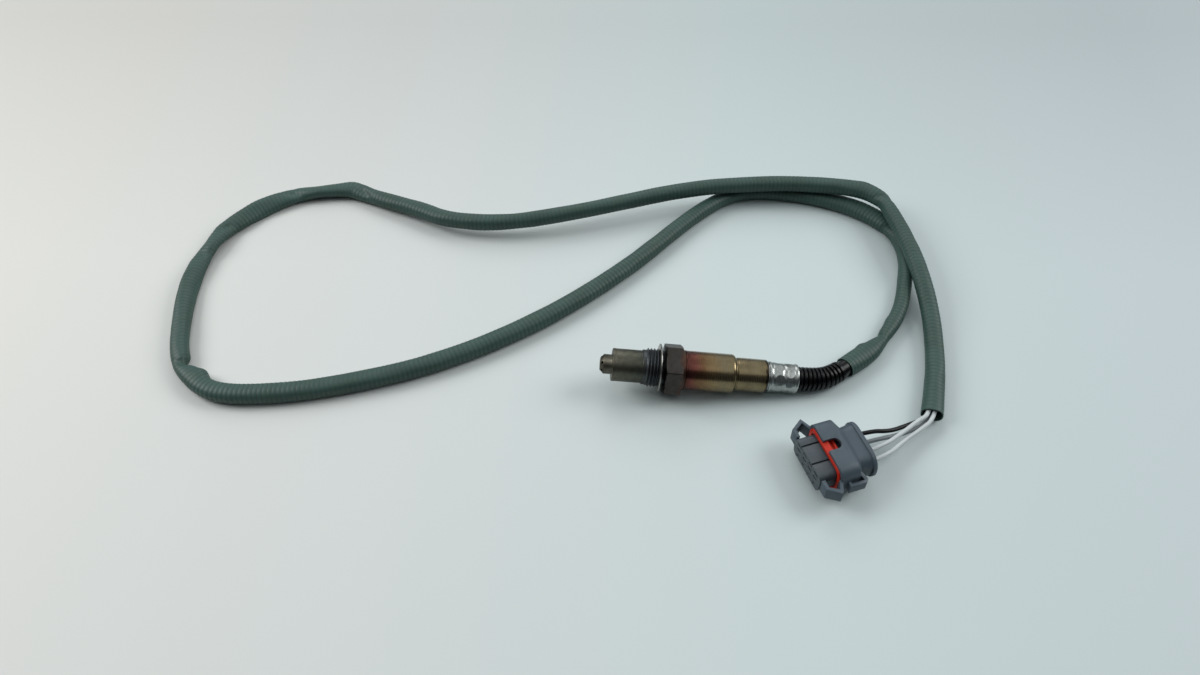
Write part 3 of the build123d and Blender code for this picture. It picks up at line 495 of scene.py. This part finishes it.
def sleeveRelief(path, arc, across, turn, ribs):
    # millimetres outwards at each point: ribs, slow ripples, and the kinks and folds
    relief = -(ribs * sleeve["ribDepthMm"])[:, None] * np.ones_like(turn)
    ripple = sleeve["ripple"]
    for k in ripple["lobes"]:
        sway = smoothNoise(arc, ripple["turnSeed"] + k, ripple["turnSpanM"])[:, None]
        size = smoothNoise(arc, ripple["seed"] + k, ripple["spanM"])[:, None]
        relief = relief + ripple["mm"] * size * np.cos(k * turn + 3 * sway)
    for place, angle, spread, move, reach, skew in sleeve["folds"]:
        nearest = arc[np.argmin(np.linalg.norm(path[:, :2] - np.array(place), axis=1))]
        off = (turn - math.radians(angle) + math.pi) % fullTurn - math.pi
        along = (arc[:, None] - nearest) / millimetre - skew * across
        relief = relief + move * np.exp(-(along / reach) ** 2) * np.exp(-(off / math.radians(spread)) ** 2)
    return relief


def buildSleeve():
    path = pathOf(sleeve["route"])
    step = sleeve["ribPitchMm"] / sleeve["stepsPerRib"] * millimetre
    count = int(round(arcLengths(path)[-1] / step)) + 1
    path = evenSteps(path, count)
    arc = arcLengths(path)
    left, up = sideFrames(path)
    wide, thin, roll = sleeveSections(path, arc)
    around = sleeve["around"]
    angles = np.arange(around) / around * fullTurn
    # a rounded-square section, turned by its roll
    cos = np.cos(angles)[None, :]
    sin = np.sin(angles)[None, :]
    power = sleeve["squareness"]
    squarish = (np.abs(cos) ** power + np.abs(sin) ** power) ** (-1 / power)
    tilt = np.radians(roll)[:, None]
    flatX = wide[:, None] / 2 * cos * squarish
    flatY = thin[:, None] / 2 * sin * squarish
    across = flatX * np.cos(tilt) - flatY * np.sin(tilt)
    upward = flatX * np.sin(tilt) + flatY * np.cos(tilt)
    turn = np.arctan2(upward, across)
    phase = np.arange(count) % sleeve["stepsPerRib"] / sleeve["stepsPerRib"]
    swing = sleeve["ribSwing"]
    strength = swing["mean"] + swing["swing"] * smoothNoise(arc, swing["seed"], swing["spanM"])
    ribs = np.exp(-((phase - 0.5) / sleeve["grooveShare"]) ** 2) * strength
    size = (np.hypot(across, upward) + sleeveRelief(path, arc, across, turn, ribs)) * millimetre
    points = path[:, None, :] + left[:, None, :] * (size * np.cos(turn))[..., None] \
        + up[:, None, :] * (size * np.sin(turn))[..., None]
    points = np.clip(points, np.array(cadBox[0]) + sleeve["clearM"], np.array(cadBox[1]) - sleeve["clearM"])
    # the open mouth: the wall turns in, runs back and is closed far inside
    wall = sleeve["wallMm"] * millimetre
    stride = sleeve["mouthStride"]
    inner = []
    for k in range(max(3, int(sleeve["mouthDepthMm"] * millimetre / step / stride)) + 1):
        i = count - 1 - stride * k
        shrink = 1 - wall / np.linalg.norm(points[i] - path[i], axis=1)[:, None]
        inner.append(path[i] + (points[i] - path[i]) * shrink)
    # the other end is tucked in round the boot's tail
    tuck = [path[i] + (points[i] - path[i]) * share
            for i, share in zip((0, sleeve["tuckStep"]), sleeve["tuckShares"])]
    rings = [tuck[1], tuck[0]] + list(points) + inner
    faces = gridFaces(len(rings), around)
    faces.append(tuple(range(around - 1, -1, -1)))
    faces.append(tuple(range((len(rings) - 1) * around, len(rings) * around)))
    piece = meshPiece("cable_sleeve_skin", np.concatenate(rings), faces, varnishedSleevingGreen, 70)
    # the material reads how deep in a groove each point lies, for its dullness and its painted shade; the
    # inside of the mouth counts as fully deep, so it is painted in shade too
    depths = np.concatenate([[0.5, 0.5], ribs, np.full(len(inner), 1.0)])
    attribute = piece.data.attributes.new("groove", "FLOAT", "POINT")
    attribute.data.foreach_set("value", np.repeat(depths, around).astype(np.float32))
    return piece, path


sleevePiece, sleevePath = buildSleeve()
print("sleeve ready", len(sleevePath), "rings, length", round(arcLengths(sleevePath)[-1], 4))

# the bend boot, with its ribs along its path
boot = {"route": [probeAxisPoint(91.0), probeAxisPoint(102.3), (0.0655, 0.0043, 0.00555),
                  (0.076, 0.01337, 0.00505)],
        "sizesMm": {"Pitch": 2.06, "First crest": 5.85, "Last crest": 5.0, "Groove": 0.95,
                    "Neck start": 1.4, "Ribs start": 1.8, "Ribs end": 23.9, "Collar start": 24.3,
                    "Collar end": 24.9, "Tail": 4.1, "Step": 0.12},
        "dipShares": (0.22, 0.44),   # where a groove begins and is deepest, in shares of the pitch
        "around": 64, "sharpDegrees": 50}
bootSizes = {name: size * millimetre for name, size in boot["sizesMm"].items()}


def bellowsTree(sizeNames, material):
    # sets the radius along the path: neck, round ribs, smooth collar, then the tail inside the sleeve
    tree = bpy.data.node_groups.new("bellows", "GeometryNodeTree")
    tree.interface.new_socket("Geometry", in_out="INPUT", socket_type="NodeSocketGeometry")
    for name in sizeNames:
        tree.interface.new_socket(name, in_out="INPUT", socket_type="NodeSocketFloat")
    tree.interface.new_socket("Geometry", in_out="OUTPUT", socket_type="NodeSocketGeometry")
    inlet = addNode(tree, "NodeGroupInput", {}).outputs
    fine = addNode(tree, "GeometryNodeResampleCurve", {"mode": "LENGTH", "Curve": inlet["Geometry"],
                                                       "Length": inlet["Step"]})
    along = addNode(tree, "GeometryNodeSplineParameter", {}).outputs["Length"]
    maths = "ShaderNodeMath"
    # the crests shrink evenly from the first to the last
    crest = addNode(tree, "ShaderNodeMapRange", {
        "Value": along, "From Min": inlet["Ribs start"], "From Max": inlet["Ribs end"],
        "To Min": inlet["First crest"], "To Max": inlet["Last crest"]})
    # one groove in each pitch, between the first and the last rib
    since = addNode(tree, maths, {"operation": "SUBTRACT", 0: along, 1: inlet["Ribs start"]})
    turns = addNode(tree, maths, {"operation": "DIVIDE", 0: since, 1: inlet["Pitch"]})
    phase = addNode(tree, maths, {"operation": "FRACT", 0: turns})
    centred = addNode(tree, maths, {"operation": "SUBTRACT", 0: phase, 1: 0.5})
    fold = addNode(tree, maths, {"operation": "ABSOLUTE", 0: centred})
    dip = addNode(tree, "ShaderNodeMapRange", {"interpolation_type": "SMOOTHSTEP", "Value": fold,
                                               "From Min": boot["dipShares"][0],
                                               "From Max": boot["dipShares"][1]})
    before = addNode(tree, maths, {"operation": "LESS_THAN", 0: along, 1: inlet["Ribs end"]})
    after = addNode(tree, maths, {"operation": "GREATER_THAN", 0: along, 1: inlet["Ribs start"]})
    within = addNode(tree, maths, {"operation": "MULTIPLY", 0: before, 1: after})
    dipped = addNode(tree, maths, {"operation": "MULTIPLY", 0: dip, 1: within})
    depth = addNode(tree, maths, {"operation": "MULTIPLY", 0: dipped, 1: inlet["Groove"]})
    ribbed = addNode(tree, maths, {"operation": "SUBTRACT", 0: crest, 1: depth})
    # the collar steps down to the tail, and the neck widens to the first rib
    tailShare = addNode(tree, "ShaderNodeMapRange", {
        "interpolation_type": "SMOOTHSTEP", "Value": along, "From Min": inlet["Collar start"],
        "From Max": inlet["Collar end"]})
    stepped = addNode(tree, "ShaderNodeMix", {"data_type": "FLOAT", 0: tailShare, 2: ribbed,
                                              3: inlet["Tail"]})
    neckShare = addNode(tree, "ShaderNodeMapRange", {"Value": along, "From Min": inlet["Neck start"],
                                                     "From Max": inlet["Ribs start"]})
    radius = addNode(tree, "ShaderNodeMix", {"data_type": "FLOAT", 0: neckShare, 2: inlet["Last crest"],
                                             3: stepped})
    ring = addNode(tree, "GeometryNodeCurvePrimitiveCircle", {"Resolution": boot["around"], "Radius": 1.0})
    skin = addNode(tree, "GeometryNodeCurveToMesh", {"Curve": fine, "Profile Curve": ring, "Scale": radius,
                                                     "Fill Caps": True})
    solid = addNode(tree, "GeometryNodeRealizeInstances", {"Geometry": skin})
    painted = addNode(tree, "GeometryNodeSetMaterial", {"Geometry": solid, "Material": material})
    addNode(tree, "NodeGroupOutput", {"Geometry": painted})
    return tree


def appliedNodes(carrier, tree, values, name):
    # sets the tree's inputs by identifier, takes the plain mesh and removes the carrier
    modifier = carrier.modifiers.new("shape", "NODES")
    modifier.node_group = tree
    identifiers = {item.name: item.identifier for item in tree.interface.items_tree
                   if item.item_type == "SOCKET" and item.in_out == "INPUT"}
    for inputName, value in values.items():
        modifier[identifiers[inputName]] = value
    evaluated = carrier.evaluated_get(bpy.context.evaluated_depsgraph_get())
    mesh = bpy.data.meshes.new_from_object(evaluated)
    mesh.name = name
    mesh.shade_smooth()
    mesh.set_sharp_from_angle(angle=math.radians(boot["sharpDegrees"]))
    bpy.data.objects.remove(carrier)
    return newObject(name, mesh)


bootCurve = nurbsCurve("boot_guide", boot["route"], 60)
bootPiece = appliedNodes(bootCurve, bellowsTree(bootSizes, mouldedRubberBlack), bootSizes, "bend_boot_skin")
print("boot ready", len(bootPiece.data.vertices), "points")

# the four wires between sleeve and plug
wires = {
    "diameterM": 0.002, "insideM": 0.0079, "apartM": 0.00125,   # inside the mouth, off its middle
    "wire_black": {"place": (1, -1), "material": extrudedCoverBlack,
                   "bends": [(0.1045, -0.0188, 0.0035), (0.093, -0.025, 0.0054),
                             (0.084, -0.0304, 0.0084)]},
    "wire_grey": {"place": (-1, -1), "material": extrudedCoverGrey,
                  "bends": [(0.1062, -0.0204, 0.0032), (0.091, -0.0299, 0.0056)]},
    "wire_white_1": {"place": (1, 1), "material": extrudedCoverWhite,
                     "bends": [(0.1046, -0.019, 0.006), (0.0985, -0.0233, 0.0074),
                               (0.0916, -0.0294, 0.008)]},
    "wire_white_2": {"place": (-1, 1), "material": extrudedCoverWhite,
                     "bends": [(0.1068, -0.021, 0.0059), (0.0986, -0.0278, 0.0062),
                               (0.0904, -0.034, 0.0068)]}}
plug = {"place": (0.0522, -0.0468, 0.0093), "headingDegrees": 199.6, "rearMm": -19.0, "leadInMm": 7.0,
        "cavityPitchMm": 5.0, "crimpMm": -7.2}


def plugPoint(forward, along):
    # a point at the plug's middle height from its own axes, in millimetres
    turn = math.radians(plug["headingDegrees"])
    x = plug["place"][0] + (forward * math.cos(turn) - along * math.sin(turn)) * millimetre
    y = plug["place"][1] + (forward * math.sin(turn) + along * math.cos(turn)) * millimetre
    return (x, y, plug["place"][2])


mouth = Vector(sleeve["route"][-1])
mouthBack = (Vector(sleeve["route"][-2]) - mouth).normalized()
mouthLeft = Vector((0, 0, 1)).cross(mouthBack).normalized()
wirePieces = []
for number, name in enumerate(("wire_black", "wire_grey", "wire_white_1", "wire_white_2")):
    side, rise = wires[name]["place"]
    start = mouth + mouthBack * wires["insideM"] + mouthLeft * side * wires["apartM"]
    start += Vector((0, 0, rise * wires["apartM"]))
    cavity = (number - 1.5) * plug["cavityPitchMm"]
    points = [tuple(start)] + wires[name]["bends"] + [plugPoint(plug["rearMm"] - plug["leadInMm"], cavity),
                                                      plugPoint(plug["crimpMm"], cavity)]
    wire = nurbsCurve(name + "_cover", points, 16)
    wire.data.bevel_depth = wires["diameterM"] / 2
    wire.data.bevel_resolution = 5
    wire.data.use_fill_caps = True
    wire.data.materials.append(wires[name]["material"])
    wirePieces.append((name, wire, points))
print("wires ready")

# the probe: (station, radius, rounding) corners in millimetres from its tip
guard = {"frontMm": 5.4, "endMm": 19.4, "radiusMm": 7.65, "noseHoleMm": 4.65, "wallMm": 0.6, "beadMm": 0.12}


def buildGuard():
    a = guard["frontMm"]
    b = guard["endMm"]
    r = guard["radiusMm"]
    w = guard["wallMm"]
    corners = [(a, guard["noseHoleMm"]), (a, r - 0.9, 0.3), (a + 0.15, r - 0.05, 0.2),
               (a + 0.9, r + guard["beadMm"], 0.4), (a + 1.7, r - 0.02, 0.4), (b, r), (b, r - w),
               (a + w, r - w), (a + w, guard["noseHoleMm"])]
    return turnedPiece("outer_protection_tube_skin", corners, drawnSteelBaked)


shell = {"frontMm": 19.3, "leadStartMm": 19.4, "leadMm": 8.1, "threadStartMm": 21.3, "threadEndMm": 26.9,
         "threadMm": 9.0, "pitchMm": 1.5, "threadDepthMm": 0.85, "threadRows": 90, "undercutMm": 8.1,
         "hexStartMm": 29.7, "hexEndMm": 37.8, "flatsMm": 22.0, "leanDegrees": 11.0, "chamferMm": 0.42,
         "chamferFaceMm": 11.15, "chamferReachMm": 1.95, "edgePower": 70,   # more makes a sharper hexagon
         "collarEndMm": 39.3, "collarMm": 9.35, "neckEndMm": 44.0, "neckMm": 8.5,
         "boreMm": 5.4, "seatStationMm": 25.0, "seatMm": 4.8, "around": 240}


def hexRadius(angles):
    # distance to the hexagon's flats, its edges a little rounded
    apothem = shell["flatsMm"] / 2
    lean = math.radians(shell["leanDegrees"])
    total = 0
    for k in range(6):
        face = np.cos(angles - lean - math.radians(60 * k + 30)) / apothem
        total = total + np.maximum(face, 1e-6) ** shell["edgePower"]
    return total ** (-1 / shell["edgePower"])


def threadRadius(station, angles, first, last):
    # M18 x 1.5 turns: one helical vee, run out at both ends
    turn = (station / shell["pitchMm"] - angles / fullTurn) % 1.0
    vee = np.clip((1 - np.abs(2 * turn - 1)) * 1.25 - 0.1, 0, 1)
    run = min(1.0, (station - first) / 0.9, (last - station) / 0.35)
    root = shell["undercutMm"] + 0.05
    return root + (shell["threadMm"] - shell["threadDepthMm"] * (1 - vee) - root) * max(run, 0)


def buildShell():
    around = shell["around"]
    angles = np.arange(around) / around * fullTurn
    lead = shell["leadMm"]
    rows = [(shell["frontMm"], lead - 1.1), (shell["leadStartMm"], lead - 1.1),
            (shell["leadStartMm"], lead - 0.15), (shell["leadStartMm"] + 0.2, lead),
            (shell["threadStartMm"] - 0.5, lead)]
    first = shell["threadStartMm"] - 0.3
    last = shell["threadEndMm"] + 0.1
    for station in np.linspace(first, last, shell["threadRows"] + 1):
        rows.append((station, threadRadius(station, angles, first, last)))
    front = shell["hexStartMm"]
    rear = shell["hexEndMm"]
    rows += [(shell["threadEndMm"] + 0.3, shell["undercutMm"]), (front - 0.05, shell["undercutMm"]),
             (front, shell["undercutMm"] + 0.1)]
    # the hexagon, its corners turned off at both faces
    hexagon = hexRadius(angles)
    face = shell["chamferFaceMm"]
    slope = shell["chamferMm"]
    turned = [(0.02 + slope * share, np.minimum(hexagon, face + shell["chamferReachMm"] * share))
              for share in np.linspace(0, 1, 8)]
    rows.append((front, face - 0.35))
    rows += [(front + inward, radius) for inward, radius in turned]
    rows += [(front + slope + (rear - front - 2 * slope) * i / 6, hexagon) for i in range(1, 6)]
    rows += [(rear - inward, radius) for inward, radius in reversed(turned)]
    rows.append((rear, face - 0.35))
    # collar, neck and bore
    collar = shell["collarMm"]
    rows += [(rear, collar), (rear + 0.1, collar), (shell["collarEndMm"] - 0.25, collar),
             (shell["collarEndMm"], collar - 0.3), (shell["collarEndMm"], shell["neckMm"]),
             (shell["neckEndMm"], shell["neckMm"]), (shell["neckEndMm"], shell["boreMm"]),
             (shell["seatStationMm"], shell["boreMm"]), (shell["seatStationMm"], shell["seatMm"]),
             (shell["frontMm"], shell["seatMm"])]
    radii = np.array([np.broadcast_to(radius, (around,)) for station, radius in rows], float)
    points = probePoints([station for station, radius in rows], radii, angles)
    faces = [tuple(reversed(f)) for f in gridFaces(len(rows), around, closeRows=True)]
    return meshPiece("hex_shell_skin", points, faces, turnedSteelDark, 38)


gasket = {"startMm": 27.1, "endMm": 28.0, "outerMm": 11.4, "innerMm": 8.25, "sheetMm": 0.35}


def buildGasket():
    # a folded ring: two faces with a seam round the rim, open on its inner side
    a = gasket["startMm"]
    b = gasket["endMm"]
    r = gasket["outerMm"]
    n = gasket["innerMm"]
    t = gasket["sheetMm"]
    middle = (a + b) / 2
    corners = [(a + t, n), (a, n, 0.15), (a, r - 0.5, 0.45), (a + 0.3, r - 0.02, 0.25),
               (middle - 0.1, r, 0.1), (middle, r - 0.12, 0.05), (middle + 0.1, r, 0.1),
               (b - 0.3, r - 0.02, 0.25), (b, r - 0.5, 0.45), (b, n, 0.15), (b - t, n),
               (b - t, r - 1.0, 0.2), (a + t, r - 1.0, 0.2)]
    return turnedPiece("gasket_ring_skin", corners, foldedSteelBright)


tube = {"startMm": 39.3, "stepMm": 62.8, "endMm": 78.2, "largeMm": 9.2, "smallMm": 7.85, "boreMm": 8.55}


def buildTube():
    # a bead at the hexagon, a rolled step with a groove behind it, and a turned-in end
    a = tube["startMm"]
    s = tube["stepMm"]
    e = tube["endMm"]
    r = tube["largeMm"]
    q = tube["smallMm"]
    corners = [(a, tube["boreMm"]), (a, r + 0.08, 0.12), (a + 0.7, r + 0.08, 0.3), (a + 1.2, r, 0.4),
               (s - 0.2, r - 0.03, 1.5), (s + 0.15, q - 0.1, 0.35), (s + 0.35, q - 0.35, 0.2),
               (s + 0.75, q - 0.35, 0.25), (s + 1.1, q, 0.4), (e - 0.2, q, 0.9), (e, q - 0.75, 0.1),
               (e - 0.4, q - 0.85), (e - 1.2, q - 0.75), (s + 1.0, q - 0.8), (s - 0.6, q - 0.95),
               (s - 2.2, tube["boreMm"])]
    return turnedPiece("protective_sleeve_skin", corners, drawnSteelTinted, 192, arcSteps=7)


ferrule = {"rimMm": 78.9, "endMm": 92.8, "radiusMm": 6.95, "endRadiusMm": 6.7, "insideMm": 4.9, "steps": 64,
           "dents": 8, "dentMm": 0.17, "dentReachMm": 1.9, "rings": (0.34, 0.68), "ridgeMm": 0.05,
           "grooveShare": 0.5, "grooveMm": 0.24, "grooveReachMm": 0.75}


def buildFerrule():
    a = ferrule["rimMm"]
    e = ferrule["endMm"]
    r = ferrule["radiusMm"]
    q = ferrule["endRadiusMm"]
    back = a - ferrule["insideMm"]
    corners = [(back, r - 0.75), (back, r - 0.25), (a - 0.1, r - 0.25, 0.05), (a, r + 0.2, 0.15),
               (a + 0.55, r + 0.34, 0.4), (a + 1.25, r + 0.2, 0.3), (a + 1.7, r - 0.12, 0.3)]
    for share in np.linspace(0, 1, ferrule["steps"] + 1):
        corners.append((a + 2.0 + (e - a - 3.9) * share, r + (q - r) * share))
    corners += [(e - 1.4, q + 0.24, 0.25), (e - 0.6, q + 0.24, 0.35), (e, q - 0.1, 0.3), (e, q - 0.75),
                (a + 1.6, r - 0.95)]

    def press(station, radius, angles):
        # two staggered rings of round crimp dents, a soft groove between them and the metal raised around
        middle = a + (e - a) * ferrule["grooveShare"]
        groove = np.exp(-((station - middle) / ferrule["grooveReachMm"]) ** 2) * ferrule["grooveMm"]
        radius = np.where(radius > q - 0.4, radius - groove, radius)
        for ring, place in enumerate(ferrule["rings"]):
            centre = a + (e - a) * place
            for k in range(ferrule["dents"]):
                turn = fullTurn * (k + 0.5 * ring) / ferrule["dents"]
                off = (angles - turn + math.pi) % fullTurn - math.pi
                distance = np.sqrt((station - centre) ** 2 + (off * r) ** 2) / ferrule["dentReachMm"]
                dent = np.clip(1 - distance ** 2, 0, 1) ** 1.3 * ferrule["dentMm"]
                ridge = np.exp(-((distance - 1.08) / 0.2) ** 2) * ferrule["ridgeMm"]
                outside = (radius > q - 0.4) & (station > a + 1.9) & (station < e - 1.6)
                radius = np.where(outside, radius - dent + ridge, radius)
        return radius

    return turnedPiece("crimp_ferrule_skin", corners, crimpedSteelBright, 200, press)


guardPiece = buildGuard()
shellPiece = buildShell()
gasketPiece = buildGasket()
tubePiece = buildTube()
ferrulePiece = buildFerrule()
print("probe skins ready")

# CAD solids that keep their shape
edging = {"weldM": 1e-6, "flatDegrees": 0.6, "edgeDegrees": 40, "segments": 2}


def mergedCopy(node, material, bevelMm=0.0, sharpDegrees=30):
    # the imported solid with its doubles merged, its edges broken and smooth faces
    mesh = frame["nodes"][node].data.copy()
    piece = newObject(node + "_dressed", mesh)
    weld = piece.modifiers.new("weld", "WELD")
    weld.merge_threshold = edging["weldM"]
    if bevelMm:
        flat = piece.modifiers.new("flat", "DECIMATE")
        flat.decimate_type = "DISSOLVE"
        flat.angle_limit = math.radians(edging["flatDegrees"])
        bevel = piece.modifiers.new("bevel", "BEVEL")
        bevel.width = bevelMm * millimetre
        bevel.segments = edging["segments"]
        bevel.limit_method = "ANGLE"
        bevel.angle_limit = math.radians(edging["edgeDegrees"])
    evaluated = piece.evaluated_get(bpy.context.evaluated_depsgraph_get())
    solid = bpy.data.meshes.new_from_object(evaluated)
    piece.modifiers.clear()
    piece.data = solid
    solid.materials.clear()
    solid.materials.append(material)
    solid.shade_smooth()
    solid.set_sharp_from_angle(angle=math.radians(sharpDegrees))
    return piece


# material, slot and the width of the broken edges in millimetres
plugPieces = {
    "connector_shell": (mouldedNylonBlue, "housing_grey", 0.22),
    "terminal_carrier": (mouldedNylonGrey, "carrier_grey", 0.15),
    "carrier_seal": (mouldedSiliconeRed, "seal_red", 0.2),
    "connector_rear_cap": (mouldedNylonBlue, "housing_grey", 0.0),
    "wire_seals": (mouldedSiliconeRed, "seal_red", 0.0)}
dressedPlug = []
for node, (material, slot, bevelMm) in plugPieces.items():
    piece = mergedCopy(node, material, bevelMm)
    finishPiece(piece, node)
    dressedPlug.append(piece)
finishPiece(mergedCopy("inner_protection_tube", drawnSteelBaked), "inner_protection_tube")
inside = {"sensor_element": sinteredZirconia, "front_ceramic_bush": firedAlumina,
          "talc_packing": pressedTalc, "rear_ceramic_bush": firedAlumina, "packing_ring": rolledSpringSteel,
          "contact_holder": firedAlumina, "holder_clip": rolledSpringSteel,
          "contact_springs": rolledSpringSteel, "cable_grommet": mouldedRubberGrey,
          "terminal_lock": mouldedNylonGrey, "connector_terminals": tinnedBronze}
for node, material in inside.items():
    frame["nodes"][node].data.materials.clear()
    frame["nodes"][node].data.materials.append(material)
print("plug and inner pieces ready")

finishPiece(guardPiece, "outer_protection_tube")
finishPiece(shellPiece, "hex_shell")
finishPiece(gasketPiece, "gasket_ring")
finishPiece(tubePiece, "protective_sleeve")
finishPiece(ferrulePiece, "crimp_ferrule")
finishPiece(bootPiece, "bend_boot")
finishPiece(sleevePiece, "cable_sleeve")
wires["wire_black"]["pieces"] = dressedPlug[:3] + [frame["nodes"]["terminal_lock"]]
wires["wire_grey"]["pieces"] = [frame["nodes"]["connector_terminals"]]
wires["wire_white_1"]["pieces"] = [dressedPlug[3]]
wires["wire_white_2"]["pieces"] = [dressedPlug[4]]
for name, wire, points in wirePieces:
    finishPiece(wire, name)
    length = arcLengths(pathOf(points, 16))[-1]

# table, room and light
room = {"tableSizeM": 6.0,
        # the board's pale colour with painted light across it: lighter and warmer at the left, darker and
        # cooler at the right
        "tableColourAndLightStops": [(0, "#D3D2CD"), (0.3, "#CED2D0"), (0.6, "#C4D0D0"), (1, "#B6C0C3")],
        "tableSpanM": (-0.35, 0.3),   # painted light: from a warm, lighter left end to a cool, darker right end
        # painted shade darkens the board towards the back between these places
        "farSpanM": (0.08, 0.32), "farShade": 0.17,
        "lamps": [((-1.1, 0.2, 0.8), 0.7, 9.6), ((1.0, 0.25, 0.8), 0.7, 7.8), ((-0.1, 1.2, 1.03), 0.8, 3.6),
                  ((0.15, -0.45, 1.2), 0.8, 1.2)],   # place, side and watts
        "lampTarget": (-0.05, 0.05, 0.0),
        "skyStops": [(0, "#42464A"), (0.5, "#565A5D"), (0.62, "#73797C"), (0.85, "#BAC3C7"), (1, "#E6ECEE")],
        "skySpan": (-0.45, 1.0), "skyLean": 0.75, "skyStrength": 0.72, "seenSky": "#D3DADB"}


def buildTable():
    # matt board, its colour carrying painted light: warmer and lighter towards its left end, cooler and
    # darker to the right, and painted shade towards the back
    half = room["tableSizeM"] / 2
    material, tree, shader = newMaterial("boardAndPaintedLight", {"Roughness": 0.7})
    place = addNode(tree, "ShaderNodeTexCoord", {}).outputs["Object"]
    split = addNode(tree, "ShaderNodeSeparateXYZ", {"Vector": place}).outputs
    share = addNode(tree, "ShaderNodeMapRange", {"Value": split["X"], "From Min": room["tableSpanM"][0],
                                                 "From Max": room["tableSpanM"][1]})
    paint = addNode(tree, "ShaderNodeValToRGB", {"Fac": share})
    setStops(paint.color_ramp, room["tableColourAndLightStops"])
    shaded = clouded(tree, paint, "#000000", split["Y"], *room["farSpanM"], room["farShade"])
    setInputs(tree, shader, {"Base Color": shaded})
    return meshPiece("table", [(-half, -half, 0), (half, -half, 0), (half, half, 0), (-half, half, 0)],
                     [(0, 1, 2, 3)], material)


buildTable()


def addLamp(name, place, size, watts):
    light = bpy.data.lights.new(name, "AREA")
    light.size = size
    light.energy = watts
    lamp = newObject(name, light)
    lamp.location = place
    lamp.rotation_euler = (Vector(room["lampTarget"]) - Vector(place)).to_track_quat("-Z", "Y").to_euler()


for number, (place, size, watts) in enumerate(room["lamps"]):
    addLamp(f"softbox_{number + 1}", place, size, watts)


def buildRoomLight():
    # bright behind and above, dark on the viewer's side, as a room with one window is
    world = bpy.data.worlds.new("room")
    scene.world = world
    world.use_nodes = True
    tree = world.node_tree
    direction = addNode(tree, "ShaderNodeTexCoord", {}).outputs["Generated"]
    split = addNode(tree, "ShaderNodeSeparateXYZ", {"Vector": direction}).outputs
    lean = addNode(tree, "ShaderNodeMath", {"operation": "MULTIPLY", 0: split["Y"], 1: room["skyLean"]})
    height = addNode(tree, "ShaderNodeMath", {"operation": "ADD", 0: lean, 1: split["Z"]})
    share = addNode(tree, "ShaderNodeMapRange", {"Value": height, "From Min": room["skySpan"][0],
                                                 "From Max": room["skySpan"][1]})
    sky = addNode(tree, "ShaderNodeValToRGB", {"Fac": share})
    setStops(sky.color_ramp, room["skyStops"])
    seen = addNode(tree, "ShaderNodeLightPath", {}).outputs["Is Camera Ray"]
    colour = addNode(tree, "ShaderNodeMix", {"data_type": "RGBA", 0: seen, 6: sky,
                                             7: hexColour(room["seenSky"])})
    setInputs(tree, tree.nodes["Background"], {"Color": colour.outputs[2], "Strength": room["skyStrength"]})


buildRoomLight()
scene.view_settings.view_transform = "Standard"
print("room ready")
